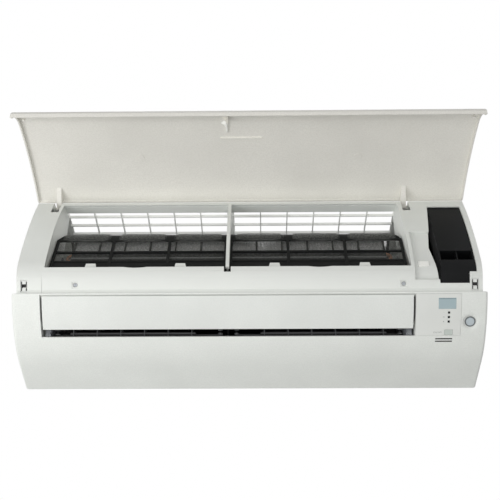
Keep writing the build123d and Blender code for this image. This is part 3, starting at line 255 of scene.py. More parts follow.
# Foam colour, dark also as painted shade over the coil below its bright upper part.
foam_painted_shade = moulded(
    "foam_painted_shade", (0.022, 0.023, 0.024), 0.8, 700.0, 0.0002, edge=0.0, mottle=0.25, refraction=1.3
)
window_grey = moulded(
    "window_grey", (0.40, 0.50, 0.53), 0.12, 300.0, 0.0, edge=0.0003, mottle=0.02
)
window_line = moulded("window_line", (0.20, 0.26, 0.28), 0.3, edge=0.0)
ring_grey = moulded("ring_grey", (0.17, 0.185, 0.19), 0.35, edge=0.0003)
lens_pale = moulded("lens_pale", (0.52, 0.58, 0.61), 0.15, edge=0.0004)
lamp_black = moulded("lamp_black", (0.014, 0.015, 0.016), 0.2, edge=0.0002)
print_grey = moulded("print_grey", (0.36, 0.38, 0.37), 0.5, edge=0.0)
# Painted shade: near black for pieces put where there is only shade.
painted_shade_black = moulded("painted_shade_black", (0.008, 0.008, 0.008), 0.7, edge=0.0, refraction=1.2)


CHASSIS_BACK = 8.0  # the chassis is white this far from the wall
DUCT_WALL = 3.0
DUCT_SKIN = 0.3


def chassis_finish():
    """White back and outside, with painted shade inside: the air duct and the fan's scroll painted
    near black, and the duct's end walls grey.
    """
    finish = moulded("chassis_white", (0.66, 0.68, 0.66), 0.55)
    depth = finish.axis("Y")
    floor_y, floor_z = DUCT_FOOT.x * MM, level(DUCT_FOOT.y)
    over_floor = (depth - floor_y) * DUCT_UP.x + (finish.axis("Z") - floor_z) * DUCT_UP.y
    off_centre = (finish.axis("X") - CENTRE_X * MM).size()
    inside = depth.below(-CHASSIS_BACK * MM)
    # Painted shade: the inside of the air duct and the fan's scroll, painted near black.
    dark = over_floor.above(DUCT_SKIN * MM) * off_centre.below(DUCT_HALF * MM) * inside
    end_wall = off_centre.above(DUCT_HALF * MM) * off_centre.below((DUCT_HALF + DUCT_WALL) * MM)
    # Painted shade: the duct's end walls, painted grey.
    toned = finish.blend(end_wall * inside, finish.tone, (0.22, 0.23, 0.25))
    finish.drive("Base Color", finish.blend(dark, toned, (0.010, 0.0105, 0.011)))
    return finish


LATTICE_FRONT = -147.5
LATTICE_FOOT = 291.5
BAND_RISE = (77.0, 108.0)  # heights over which the band's painted shade darkens it upwards
BAND_FADE = (120.0, 180.0)  # heights over which the band's painted light and shade gives way to the frame's tone
BAND_FRONT = -150.0
ARC_EDGE = (-350.5, -349.0)
ARC_FADE = (90.0, 116.5)
ARC_FRONT = -170.0
ARC_RIDGE = 45.0  # height of the arc's edge, in grain depths


def casing_finish():
    """White casing: lattice painted paler as painted light, band painted lighter below and darker
    above as painted light and shade, and the left arc's edge standing over the band.
    """
    finish = moulded("case_white_painted_light", (0.79, 0.81, 0.775))
    depth = finish.axis("Y")
    height = finish.axis("Z")
    # Painted light: the lattice is coloured paler than the rest of the moulding, so that it looks
    # lit.
    lattice = depth.above(LATTICE_FRONT * MM) * height.above(level(LATTICE_FOOT))
    # Painted light and shade: the band is coloured lighter at its foot and darker higher up,
    # fading into the frame's tone above.
    up_band = finish.ramp(height, *(level(h) for h in BAND_RISE))
    band = finish.blend(up_band, (0.83, 0.85, 0.815), (0.70, 0.715, 0.685))
    at_band = finish.ramp(height, *(level(h) for h in BAND_FADE), 1.0, 0.0)
    band_share = at_band * depth.below(BAND_FRONT * MM)
    toned = finish.blend(band_share, finish.tone, band)
    finish.drive("Base Color", finish.blend(lattice, toned, (0.96, 0.97, 0.94)))
    arc = finish.ramp(finish.axis("X"), ARC_EDGE[0] * MM, ARC_EDGE[1] * MM, 1.0, 0.0)
    low = finish.ramp(height, *(level(h) for h in ARC_FADE), 1.0, 0.0)
    low_front = low * depth.below(ARC_FRONT * MM)
    grain = finish.noise(GRAIN, 1.0)["Fac"]
    finish.relief(grain + arc * low_front * ARC_RIDGE, GRAIN_DEPTH, SOFT_EDGE)
    return finish


DISH = (9.5, 16.5)  # inner and outer radius of the dish round the receiver
DISH_DEPTH = 50.0  # in grain depths


def cover_finish():
    """White cover with fine flecks and the shallow dish round the receiver."""
    finish = speckled("cover_white", (0.80, 0.82, 0.785), (0.70, 0.72, 0.69), 520.0, 0.5)
    corners = [Vector(corner) for corner in nodes["receiver_ring"].bound_box]
    middle = sum(corners, Vector()) / len(corners)
    sockets = {"Vector": finish.place, 1: tuple(middle)}
    measure = finish.node("ShaderNodeVectorMath", {"operation": "DISTANCE"}, sockets)
    dish = finish.ramp(measure["Value"], DISH[0] * MM, DISH[1] * MM)
    grain = finish.noise(FLECKED_GRAIN, 1.0)["Fac"]
    finish.relief(grain + dish * DISH_DEPTH, FLECKED_DEPTH, SOFT_EDGE)
    return finish


CLIP_SKIN = 3.2


def clip_finish():
    """White catch with painted shade in its slots: faces deeper than its skin are painted near
    black.
    """
    finish = moulded("clip_white", (0.76, 0.775, 0.75), 0.5)
    behind = (finish.axis("Y") - BAND_POINT.x * MM) * math.cos(BAND_LEAN)
    over = (finish.axis("Z") - level(BAND_POINT.y)) * math.sin(BAND_LEAN)
    # Painted shade: faces deeper than the catch's skin, inside its slots, are painted near black.
    slot = (behind + over).above(CLIP_SKIN * MM)
    finish.drive("Base Color", finish.blend(slot, finish.tone, (0.012, 0.012, 0.013)))
    return finish


METAL_MOTTLE = 0.18
METAL_SWING = 0.08


def drawn_metal(name, colour, roughness):
    """Bare sheet or tube with faint drawing marks and a slightly uneven gloss."""
    finish = Finish(name, Metallic=1.0)
    cloud = finish.noise(30.0, 4.0)["Fac"]
    darker = tuple(c * (1 - METAL_MOTTLE) for c in colour)
    finish.drive("Base Color", finish.blend(finish.ramp(cloud, 0.3, 0.7), darker, colour))
    gloss = (roughness - METAL_SWING, roughness + METAL_SWING)
    finish.drive("Roughness", finish.ramp(cloud, 0.3, 0.7, *gloss))
    finish.relief(finish.noise(900.0, 2.0)["Fac"], 0.00001)
    return finish


sheet_steel = drawn_metal("sheet_steel", (0.62, 0.63, 0.63), 0.42)
screw_steel = drawn_metal("screw_steel", (0.40, 0.42, 0.44), 0.45)


def fin_finish():
    """Bright fins with painted glints: their colour is randomly lighter and darker where slightly
    bent edges would catch the light.
    """
    finish = drawn_metal("fin_aluminium", (0.95, 0.96, 0.95), 0.5)
    # Painted glints: the base colour swings at random between grey and white.
    painted_glints = finish.ramp(finish.noise(330.0, 3.0, 0.7)["Fac"], 0.40, 0.60)
    finish.drive("Base Color", finish.blend(painted_glints, (0.50, 0.51, 0.50), (1.0, 1.0, 0.99)))
    finish.drive("Metallic", 0.05)
    return finish


NET_LIGHTENS = (196.0, 212.0)  # heights over which the net grows lighter


def thread_finish():
    """Dark net with lighter flecks, the whole of it lighter towards its top."""
    finish = moulded("thread_black", (0.10, 0.104, 0.098), 0.5, edge=0.0)
    fleck = finish.ramp(finish.noise(420.0, 2.0, 0.7)["Fac"], 0.40, 0.60)
    toward_top = finish.ramp(finish.axis("Z"), *(level(h) for h in NET_LIGHTENS))
    dark = finish.blend(toward_top, (0.03, 0.031, 0.029), (0.09, 0.093, 0.088))
    light = finish.blend(toward_top, (0.12, 0.124, 0.117), (0.27, 0.28, 0.265))
    finish.drive("Base Color", finish.blend(fleck, dark, light))
    return finish


fin_aluminium = fin_finish()
thread_black = thread_finish()
end_aluminium = drawn_metal("end_aluminium", (0.62, 0.63, 0.62), 0.45)
copper = drawn_metal("copper", (0.80, 0.40, 0.24), 0.36)

NODE_FINISHES = {
    "mounting_plate": sheet_steel,
    "rear_chassis": chassis_finish(),
    "casing_frame": casing_finish(),
    "lower_cover": cover_finish(),
    "front_panel": panel_white,
    "flap": flap_white,
    "side_module": module_black,
    "display_plate": plate_white,
    "display_window": window_grey,
    "status_lenses": lamp_black,
    "receiver_ring": ring_grey,
    "receiver_lens": lens_pale,
    "on_off_button": key_white,
    "latch_clips": clip_finish(),
    "casing_screws": screw_steel,
    "evaporator_end_plates": end_aluminium,
    "drain_pan": pan_white,
    "fan_wheel": fan_black,
    "fan_shafts": screw_steel,
    "fan_bearing": fan_black,
    "fan_motor": motor_grey,
    "control_box": box_black,
    "control_board": board_green,
    "vane_support_left": support_grey,
    "vane_support_right": support_grey,
    "vane_rod_left": rod_grey,
    "vane_rod_right": rod_grey,
    "vane_motors": motor_grey,
    "flap_motor": motor_grey,
    "filter_left_frame": filter_frame,
    "filter_right_frame": filter_frame,
}
for name, node in nodes.items():
    shade(node, NODE_FINISHES.get(name, vane_grey))


# ---------------------------------------------------------------- tools for new pieces
def make_piece(name, sheet, finish, body="casing", replaced=()):
    """Turn a bmesh into a piece that rides on a body."""
    bmesh.ops.recalc_face_normals(sheet, faces=sheet.faces)
    mesh = bpy.data.meshes.new(name)
    sheet.to_mesh(mesh)
    sheet.free()
    piece = bpy.data.objects.new(name, mesh)
    bpy.context.scene.collection.objects.link(piece)
    shade(piece, finish)
    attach(piece, body)
    if replaced:
        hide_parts(*replaced)


def everything(sheet):
    """All the geometry drawn so far."""
    return sheet.verts[:] + sheet.edges[:] + sheet.faces[:]


def face_of(sheet, corners):
    """One face through a few points, with its edges and corners."""
    face = sheet.faces.new([sheet.verts.new(corner) for corner in corners])
    return [face, *face.edges, *face.verts]


STILL = (0, 0, 0)


def spun(sheet, shape, steps, step, centre=STILL, axis=ALONG_X, angle=0.0, copies=False):
    """A shape drawn out or copied, along a step or round an axis; gives its last place."""
    turn = {"cent": centre, "axis": axis, "angle": angle, "dvec": step, "steps": steps}
    made = bmesh.ops.spin(sheet, geom=shape, use_duplicate=copies, use_merge=False, **turn)
    return made["geom_last"]


def pushed(sheet, shape, step, steps=1):
    """A face pushed along a straight line; gives the new end."""
    return spun(sheet, shape, steps, step)


def swept(sheet, shape, centre, axis, angle, steps):
    """A face swept round an axis; gives the new end."""
    return spun(sheet, shape, steps, STILL, centre, axis, angle)


def repeated(sheet, shape, step=STILL, count=1, centre=STILL, angle=0.0):
    """Copies of a shape in a row, or round an axis along X; gives the last copy."""
    return spun(sheet, shape, count, step, centre, ALONG_X, angle, copies=True)


def bar_across(sheet, x_from, x_to, section, steps=1):
    """Solid with one section (Y, height) from one X to another."""
    shape = face_of(sheet, [at(x_from, y, height) for y, height in section])
    pushed(sheet, shape, ALONG_X * ((x_to - x_from) / steps * MM), steps)


# ---------------------------------------------------------------- evaporator
FIN_PITCH = 1.6
FIN_THICKNESS = 1.15
COIL_LEFT = -311.0
COIL_LENGTH = 550.0
COIL_THICKNESS = 24.0
COIL_FOOT = Vector((-199.2, 107.0))  # lower front corner of the front coil
FRONT_RUN = heading(73)
FRONT_OUT = square_to(FRONT_RUN)
FRONT_MIDDLE = 12.55  # behind the foot, to the coil's middle
FRONT_COIL = (COIL_FOOT, (-174.1, 107), (-143.26, 199.14), (-131.85, 220.25), (-167.1, 212))
REAR_START = Vector((-143.0, 199.0))
REAR_RUN = Vector((0.8796, -0.4756))
REAR_RISE = square_to(REAR_RUN)
REAR_LENGTH = 118
TUBE_RADIUS = 3.5
TUBE_PITCH = 21.0
FIRST_TUBE_FRONT = 14
FIRST_TUBE_REAR = 12
REST_FIRST = 48.9
REST_PITCH = 44.95
REST_HALF = 1.5
REST_ENDS = (60, 108)
REST_GAPS = (0.5, 3.7)


def fin_pack(name, section):
    """Thin plates in a row that fill the coil."""
    sheet = bmesh.new()
    bar_across(sheet, COIL_LEFT, COIL_LEFT + FIN_THICKNESS, section)
    count = int(COIL_LENGTH / FIN_PITCH) - 1
    repeated(sheet, everything(sheet), (FIN_PITCH * MM, 0, 0), count)
    make_piece(f"{name}_pack", sheet, fin_aluminium, replaced=[name])


rear_end = REAR_START + REAR_RUN * REAR_LENGTH
rear_lift = REAR_RISE * COIL_THICKNESS
rear_coil = (REAR_START, rear_end, rear_end + rear_lift, REAR_START + rear_lift)
fin_pack("evaporator_front_fins", FRONT_COIL)
fin_pack("evaporator_rear_fins", rear_coil)


def tube_pairs():
    """Centres of the tubes, two to each return bend."""
    front = COIL_FOOT + Vector((FRONT_MIDDLE, 0)) + FRONT_RUN * FIRST_TUBE_FRONT
    rear = REAR_START + rear_lift / 2 + REAR_RUN * FIRST_TUBE_REAR
    pairs = []
    for foot, run in ((front, FRONT_RUN), (rear, REAR_RUN)):
        for first in (0, 2):
            pairs.append([foot + run * (TUBE_PITCH * (first + step)) for step in (0, 1)])
    return pairs


def coil_tubes():
    """Copper hairpins through the fins with a return bend at each end."""
    sheet = bmesh.new()
    for low, high in tube_pairs():
        middle = (low + high) / 2
        disc = bmesh.ops.create_circle(sheet, cap_ends=True, segments=14, radius=TUBE_RADIUS * MM)
        ring = disc["verts"]
        bmesh.ops.rotate(sheet, verts=ring, matrix=Matrix.Rotation(math.radians(90), 3, "Y"))
        bmesh.ops.translate(sheet, verts=ring, vec=at(COIL_LEFT, *low))
        face = ring[0].link_faces[0]
        shape = [face, *face.edges, *face.verts]
        across = (high - low).normalized()
        axis = Vector((0, -across.y, across.x))
        for end, x in ((1, COIL_LEFT + COIL_LENGTH), (-1, COIL_LEFT)):
            shape = pushed(sheet, shape, ALONG_X * (end * COIL_LENGTH * MM))
            shape = swept(sheet, shape, at(x, *middle), axis, math.pi, 12)
    bmesh.ops.remove_doubles(sheet, verts=sheet.verts, dist=0.02 * MM)
    make_piece("evaporator_hairpins", sheet, copper, replaced=["evaporator_tubes"])


def coil_front_strips():
    """Foam strip along the coil, the splash guard under it and the guard's pale rim: strip and
    guard are dark as painted shade below the coil's bright upper part, and the rim is pale as a
    painted highlight line.
    """
    foot = COIL_FOOT + FRONT_OUT * 0.3
    strips = (  # lower and upper edge along the coil's face, thickness
        ("coil_foam", 56.5, 72.5, 1.6, foam_painted_shade),
        # The rim's paler colour is a painted highlight line.
        ("splash_rim", 53.0, 55.5, 2.4, pan_white),
        ("splash_guard", 36.0, 52.8, 1.6, foam_painted_shade),
    )
    for name, low, high, thick, finish in strips:
        a = foot + FRONT_RUN * low
        b = foot + FRONT_RUN * high
        lift = FRONT_OUT * thick
        sheet = bmesh.new()
        bar_across(sheet, COIL_LEFT, COIL_LEFT + COIL_LENGTH, (a, b, b + lift, a + lift))
        make_piece(name, sheet, finish)


def filter_rests():
    """Uprights of the casing between the coil and the filters, near black as a painted shadow of
    the top lattice's bars on the fins.
    """
    sheet = bmesh.new()
    low, high = (COIL_FOOT + FRONT_RUN * end for end in REST_ENDS)
    back, front = (FRONT_OUT * gap for gap in REST_GAPS)
    section = (low + back, high + back, high + front, low + front)
    for side in (-1, 1):
        for number in range(6):
            x = CENTRE_X + side * (REST_FIRST + number * REST_PITCH)
            bar_across(sheet, x - REST_HALF, x + REST_HALF, section)
    make_piece("filter_rests", sheet, painted_shade_black)


coil_tubes()
coil_front_strips()
filter_rests()

# ---------------------------------------------------------------- air filters
NET_PITCH = 2.3
NET_THREAD = 0.36
NET_DEPTH = 3.2  # behind the frame's outer face
NET_BULGE = 4.7  # how far the net domes outwards between the ribs
NET_SHARPNESS = 0.22  # a dome's profile: the smaller, the flatter in the middle
FILTER_FOOT = Vector((-207.0, 116.0))
FILTER_UP = heading(73)
FILTER_OUT = square_to(FILTER_UP)
FILTER_STRAIGHT = 95.0
FILTER_TURN = math.radians(93)
FILTER_TAIL = 45.0
TAIL_RUN = heading(-20)
TAIL_OUT = square_to(TAIL_RUN)
TAIL_BULGE = 0.4  # share of the bulge
BULGE_FROM = 85  # up the filter, where the net begins to dome, and over what length
BULGE_OVER = 6
FILTER_INNER = 2.2
FILTER_OUTER = 306.2
FILTER_BAR = 5.0
FILTER_COLUMN = (FILTER_OUTER - FILTER_INNER - 4 * FILTER_BAR) / 3
NET_RADIUS = 32.8
NET_START = FILTER_FOOT - FILTER_OUT * NET_DEPTH
NET_CENTRE = NET_START + FILTER_UP * FILTER_STRAIGHT - FILTER_OUT * NET_RADIUS
CORNER_FROM = 202.85  # heights between which the upper outer corner is cut back
CORNER_TO = 222.85
CORNER_CUT = 14.0
FOOT_PLATE_ENDS = (6.5, 32)
FOOT_PLATE_DEPTHS = (0.9, 2.1)
FOOT_PLATE_MARGIN = 4


def upright(vector):
    """A section's direction as a scene vector."""
    return Vector((0, vector.x, vector.y)) * MM


def threads_over(sheet, x_from, x_to):
    """Threads that run up the filter, over its bend and down its tail."""
    half = NET_THREAD / 2
    inner, outer = (NET_START + FILTER_OUT * (half * a) for a in (-1, 1))
    left, right = x_from + half, x_from + 3 * half
    corners = [at(left, *inner), at(right, *inner), at(right, *outer), at(left, *outer)]
    shape = face_of(sheet, corners)
    shape = pushed(sheet, shape, upright(FILTER_UP * (FILTER_STRAIGHT / 5)), 5)
    shape = swept(sheet, shape, at(0, *NET_CENTRE), ALONG_X, -FILTER_TURN, 10)
    pushed(sheet, shape, upright(TAIL_RUN * (FILTER_TAIL / 3)), 3)
    count = int((x_to - x_from - 1) / NET_PITCH)
    repeated(sheet, everything(sheet), (NET_PITCH * MM, 0, 0), count)


def threads_across(sheet, x_from, x_to):
    """Threads that run along the filter, one above the other."""
    half = NET_THREAD / 2
    foot = NET_START + FILTER_UP * NET_PITCH
    ring = ((-1, -1), (1, -1), (1, 1), (-1, 1))
    section = [foot + (FILTER_OUT * a + FILTER_UP * b) * half for a, b in ring]
    bar_across(sheet, x_from, x_to, section, 24)
    row = everything(sheet)
    step = upright(FILTER_UP * NET_PITCH)
    row = repeated(sheet, row, step, int(FILTER_STRAIGHT / NET_PITCH) - 1)
    steps = int(FILTER_TURN * NET_RADIUS / NET_PITCH)
    row = repeated(sheet, row, count=steps, centre=at(0, *NET_CENTRE), angle=-FILTER_TURN)
    repeated(sheet, row, upright(TAIL_RUN * NET_PITCH), int(FILTER_TAIL / NET_PITCH) - 1)


def drawn_in(distance, height):
    """Distance from the middle, drawn in where the frame's outer corner is cut back."""
    reach = FILTER_OUTER
    if height > CORNER_FROM:
        reach -= CORNER_CUT * min(1, (height - CORNER_FROM) / (CORNER_TO - CORNER_FROM))
    margin = FILTER_OUTER - CORNER_CUT - FILTER_BAR
    if distance > margin:
        return margin + (distance - margin) * (reach - margin) / (FILTER_OUTER - margin)
    return distance


def bulge_at(spot):
    """Which way the net domes at a point of its section, and its share of the bulge."""
    run = (spot - NET_START).dot(FILTER_UP)
    if run < FILTER_STRAIGHT:
        return FILTER_OUT, min(1, max(0, (run - BULGE_FROM) / BULGE_OVER))
    from_centre = spot - NET_CENTRE
    if from_centre.dot(TAIL_RUN) > 0 and from_centre.dot(TAIL_OUT) > 0:
        return TAIL_OUT, TAIL_BULGE
    return from_centre.normalized(), 1.0


def dome_and_trim(sheet):
    """Dome the net between the ribs and draw it in at the cut corner."""
    for vert in sheet.verts:
        x = vert.co.x / MM - CENTRE_X
        spot = Vector((vert.co.y / MM, vert.co.z / MM + PLATE_HEIGHT))
        distance = drawn_in(abs(x), spot.y)
        out, share = bulge_at(spot)
        place = (distance - FILTER_INNER - FILTER_BAR) / (FILTER_COLUMN + FILTER_BAR)
        within = (place % 1) * (FILTER_COLUMN + FILTER_BAR) / FILTER_COLUMN
        if 0 < within < 1 and 0 < place < 3:
            spot += out * (NET_BULGE * share * math.sin(math.pi * within) ** NET_SHARPNESS)
        vert.co = at(CENTRE_X + math.copysign(distance, x), *spot)


def filter_net(name, side):
    """Woven net of one filter, carried by its frame."""
    ends = sorted((CENTRE_X + side * FILTER_INNER, CENTRE_X + side * FILTER_OUTER))
    net = bmesh.new()
    for weave in (threads_over, threads_across):
        layer = bmesh.new()
        weave(layer, *ends)
        spare = bpy.data.meshes.new("spare")
        layer.to_mesh(spare)
        layer.free()
        net.from_mesh(spare)
        bpy.data.meshes.remove(spare)
    dome_and_trim(net)
    make_piece(f"{name}_net", net, thread_black, name, [f"{name}_mesh"])


def filter_foot_plate(name, side):
    """Closed lower edge of a filter, which the thumb grips are moulded on."""
    low, high = (FILTER_FOOT + FILTER_UP * end for end in FOOT_PLATE_ENDS)
    outer, inner = (-FILTER_OUT * depth for depth in FOOT_PLATE_DEPTHS)
    reach = (FILTER_INNER + FOOT_PLATE_MARGIN, FILTER_OUTER - FOOT_PLATE_MARGIN)
    ends = sorted(CENTRE_X + side * distance for distance in reach)
    sheet = bmesh.new()
    bar_across(sheet, *ends, (low + outer, high + outer, high + inner, low + inner))
    make_piece(f"{name}_foot_plate", sheet, filter_frame, name)


for name, side in (("filter_left", -1), ("filter_right", 1)):
    filter_net(name, side)
    filter_foot_plate(name, side)


# ---------------------------------------------------------------- details of the cover
def face_frame(x, y, height, normal_y, normal_z):
    """Frame on a sloped face: X along the unit, Y up the face, Z out of it."""
    out = Vector((0, normal_y, normal_z)).normalized()
    turn = Matrix((ALONG_X, out.cross(ALONG_X), out)).transposed().to_4x4()
    return Matrix.Translation(at(x, y, height)) @ turn


def block(sheet, frame_on, size, centre):
    """Small box in a frame; gives its corners."""
    scale = Matrix.Diagonal((*(d * MM for d in size), 1))
    matrix = frame_on @ Matrix.Translation(Vector(centre) * MM) @ scale
    return bmesh.ops.create_cube(sheet, size=1.0, matrix=matrix)["verts"]


def blocks(name, frames, size, centre, finish):
    """One piece of equal boxes, one in each frame."""
    sheet = bmesh.new()
    for frame_on in frames:
        block(sheet, frame_on, size, centre)
    make_piece(name, sheet, finish)


LAMP_FRAMES = [
    face_frame(334.3, -176.22, 50.19, -0.6852, -0.7283),
    face_frame(334.3, -170.45, 44.95, -0.6589, -0.7522),
    face_frame(334.3, -164.49, 39.91, -0.6317, -0.7752),
]
BUTTON_FRAME = face_frame(334.9, -148.85, 28.28, -0.5603, -0.8283)
VENT_FRAMES = [
    face_frame(327.8, -138.81, 21.89, -0.5141, -0.8577),
    face_frame(327.8, -134.75, 19.53, -0.4883, -0.8727),
]
WINDOW_FRAME = face_frame(331.6, -193.35, 68.25, -0.7634, -0.6459)

blocks("status_lamp_bezels", LAMP_FRAMES, (3.7, 3.7, 0.3), (0, 0, 0.06), lamp_black)
# The vent liners are near-black plates behind the vents: painted shade for the dark inside.
blocks("vent_liners", VENT_FRAMES, (28.4, 2.1, 0.16), (0, 0, 0.12), painted_shade_black)
blocks("display_top_line", [WINDOW_FRAME], (28.6, 0.9, 0.16), (0, -1.5, -0.2), window_line)

MARK_LEFT = -8.6
MARK_LIFT = 0.05
MARK_BAR = (3.0, 0.45, 0.04)
BAR_RISE = 0.9
CROSS_LEAN = 0.8
DIAL_RADIUS = 1.5
DIAL_LINE = 0.35
DIAL_HAND = (0.3, 1.2, 0.04)


def lamp_marks():
    """Tiny plain marks beside the lamps: a dial, a pair of bars and a cross."""
    marks = bmesh.new()
    place = LAMP_FRAMES[0] @ Matrix.Translation((MARK_LEFT * MM, 0, 0.06 * MM))
    disc = bmesh.ops.create_circle(marks, cap_ends=True, segments=20, radius=DIAL_RADIUS * MM)
    bmesh.ops.transform(marks, verts=disc["verts"], matrix=place)
    middle = disc["verts"][0].link_faces[0]
    bmesh.ops.inset_region(marks, faces=[middle], thickness=DIAL_LINE * MM)
    bmesh.ops.delete(marks, geom=[middle], context="FACES")
    block(marks, LAMP_FRAMES[0], DIAL_HAND, (MARK_LEFT, 0.4, MARK_LIFT))
    for side in (-1, 1):
        block(marks, LAMP_FRAMES[1], MARK_BAR, (MARK_LEFT, side * BAR_RISE, MARK_LIFT))
    for side in (-1, 1):
        lean = Matrix.Rotation(side * CROSS_LEAN, 4, "Z")
        turned = Matrix.Translation((MARK_LEFT * MM, 0, 0)) @ lean
        block(marks, LAMP_FRAMES[2] @ turned, MARK_BAR, (0, 0, MARK_LIFT))
    make_piece("lamp_marks", marks, print_grey)


WORD_SIZE = 4.0
WORD_THICKNESS = 0.03
WORD_LEFT = -18.2


def switch_word():
    """The generic words beside the switch."""
    text = bpy.data.curves.new("switch_word", "FONT")
    text.body = "ON/OFF"
    text.size = WORD_SIZE * MM
    text.extrude = WORD_THICKNESS * MM
    text.align_x = "CENTER"
    text.align_y = "CENTER"
    text.resolution_u = 3
    holder = bpy.data.objects.new("switch_word_curve", text)
    mesh = bpy.data.meshes.new_from_object(holder)
    bpy.data.objects.remove(holder)
    sheet = bmesh.new()
    sheet.from_mesh(mesh)
    bpy.data.meshes.remove(mesh)
    place = BUTTON_FRAME @ Matrix.Translation(Vector((WORD_LEFT, 0, MARK_LIFT)) * MM)
    bmesh.ops.transform(sheet, verts=sheet.verts, matrix=place)
    make_piece("switch_word", sheet, print_grey)


lamp_marks()
switch_word()

# ---------------------------------------------------------------- details of the casing
LUG_SIZE = (19.0, 9.5, 1.0)
LUG_LIFTS = (2.6, 0.6)  # of the lug's lower and upper edge
LUG_TAPER = 0.86
LUG_SKEW = 1.8
LUG_EDGE = 0.5


def recess_lug():
    """Small raised lug on the floor of the recess beside the module, coloured whiter than the
    casing as painted light.
    """
    seat = face_frame(296.5, -207.2, 128.4, -1.0, 0.0)
    sheet = bmesh.new()
    inverse = seat.inverted()
    for vert in block(sheet, seat, LUG_SIZE, (0, 0, 0.1)):
        local = inverse @ vert.co
        if local.z > 0:
            local.z += (LUG_LIFTS[0] if local.y < 0 else LUG_LIFTS[1]) * MM
            local.x *= LUG_TAPER
        if local.x < 0 and local.y < 0:
            local.y -= LUG_SKEW * MM
        vert.co = seat @ local
    rounding = {"segments": 2, "profile": 0.5, "affect": "EDGES", "material": -1}
    bmesh.ops.bevel(sheet, geom=sheet.edges[:], offset=LUG_EDGE * MM, **rounding)
    make_piece("recess_lug", sheet, painted_light_white)


def outlet_end_curtains():
    """Plates that close the gaps between the outlet's jambs and the duct's end walls, coloured a
    bluish white paler than the cover as painted light.
    """
    foot = ((-125.0, 38), (-123.8, 38))
    sheet = bmesh.new()
    bar_across(sheet, -350.7, -339.3, (*foot, (-121.8, 103), (-123.0, 103)))
    bar_across(sheet, 267.3, 278.7, (*foot, (-122.6, 75), (-123.8, 75)))
    make_piece("outlet_end_curtains", sheet, curtain_painted_light)


CLIP_X = 380.0
TONGUE_SIZE = (6.2, 2.6, 1.0)
TONGUE_PLACE = (0, -3.4, -4.6)  # below the catch's middle and deep in its slot
BAND_OUT = (-math.cos(BAND_LEAN), -math.sin(BAND_LEAN))


def latch_tongues():
    """Spring tongue deep in the lower half of each catch, coloured bright white as painted light.
    """
    seats = [face_frame(side * CLIP_X, -198.2, 92.3, *BAND_OUT) for side in (-1, 1)]
    blocks("latch_tongues", seats, TONGUE_SIZE, TONGUE_PLACE, painted_light_white)


def panel_catch_web():
    """Web and gusset of the panel's middle catch, on the panel's inner face, coloured whiter than
    the panel as painted light.
    """
    sheet = bmesh.new()
    web = ((-338, 347.6), (-304.6, 347.2), (-304.6, 345.2), (-309, 343.4), (-338, 343.2))
    bar_across(sheet, -39.2, -36.4, web)
    foot = [at(-47.5, -326, 346.9), at(-38, -338, 347.2), at(-38, -314, 347.2)]
    gusset = foot + [at(-38, -328, 342.4), at(-38, -322, 342.4)]
    bmesh.ops.convex_hull(sheet, input=[sheet.verts.new(corner) for corner in gusset])
    make_piece("panel_catch_web", sheet, painted_light_white, "front_panel")


recess_lug()
outlet_end_curtains()

# ---------------------------------------------------------------- details in the outlet
VANE_ALONG = 34  # from the front end of the duct's lower wall to the vanes' pivots
VANE_FOOT = DUCT_FOOT + DUCT_RUN * VANE_ALONG + DUCT_UP
VANE_FIRST = 62.0
VANE_PITCH = 40.5
BEAD_ENDS = (-0.15, 5.15)  # of a rod's bead, in vanes from the first
FOOT_HALF = 0.6
BANKS = (("left", -1), ("right", 1))
STRIP_ENDS = (14.0, 296.5)  # where each bank's strip is screwed down, from the middle
STRIP_SCREWS = ((3.4, 4.6), (10.4, 4.4))  # rise and radius of each screw's washer and head
SCREW_HEIGHT = 1.6
SCREW_TAPER = 0.9


def duct_section(corners):
    """Section given along the duct and above its lower wall, from the vanes' pivots."""
    return [VANE_FOOT + DUCT_RUN * run + DUCT_UP * rise for run, rise in corners]


def vane_feet():
    """Slim front foot of each vane, which reaches down to the duct's lower wall, paler than the
    vane as a painted highlight on its front edge.
    """
    sole = ((-25.4, 1.0), (-23.0, 1.0), (-23.0, 9.0))
    foot = duct_section(sole + ((-18.5, 10.0), (-18.5, 13.0), (-21.5, 14.0)))
    for bank, side in BANKS:
        for number in range(6):
            vane = f"vane_{bank}_{number + 1}"
            x = CENTRE_X + side * (VANE_FIRST + number * VANE_PITCH)
            sheet = bmesh.new()
            bar_across(sheet, x - FOOT_HALF, x + FOOT_HALF, foot)
            make_piece(f"{vane}_foot", sheet, painted_highlight_grey, vane)


def rod_beads():
    """Thin bead along the front of each link rod, paler than the rod as a painted highlight."""
    bead = duct_section(((-18.7, 4.4), (-18.1, 4.4), (-18.1, 5.0), (-18.7, 5.0)))
    for bank, side in BANKS:
        ends = sorted(CENTRE_X + side * (VANE_FIRST + n * VANE_PITCH) for n in BEAD_ENDS)
        sheet = bmesh.new()
        bar_across(sheet, *ends, bead)
        make_piece(f"vane_rod_{bank}_bead", sheet, painted_highlight_grey, f"vane_rod_{bank}")


def vane_strip_screws():
    """Washer and head of the screws that hold each bank's strip at its ends."""
    sheet = bmesh.new()
    turn = Vector((0, *DUCT_UP)).to_track_quat("Z", "Y").to_matrix().to_4x4()
    for side in (-1, 1):
        for reach in STRIP_ENDS:
            for rise, radius in STRIP_SCREWS:
                place = at(CENTRE_X + side * reach, *(VANE_FOOT + DUCT_UP * rise))
                bmesh.ops.create_cone(
                    sheet,
                    cap_ends=True,
                    segments=18,
                    radius1=radius * MM,
                    radius2=radius * SCREW_TAPER * MM,
                    depth=SCREW_HEIGHT * MM,
                    matrix=Matrix.Translation(place) @ turn,
                )
    make_piece("vane_strip_screws", sheet, bead_grey)


vane_feet()
rod_beads()
vane_strip_screws()
latch_tongues()
panel_catch_web()

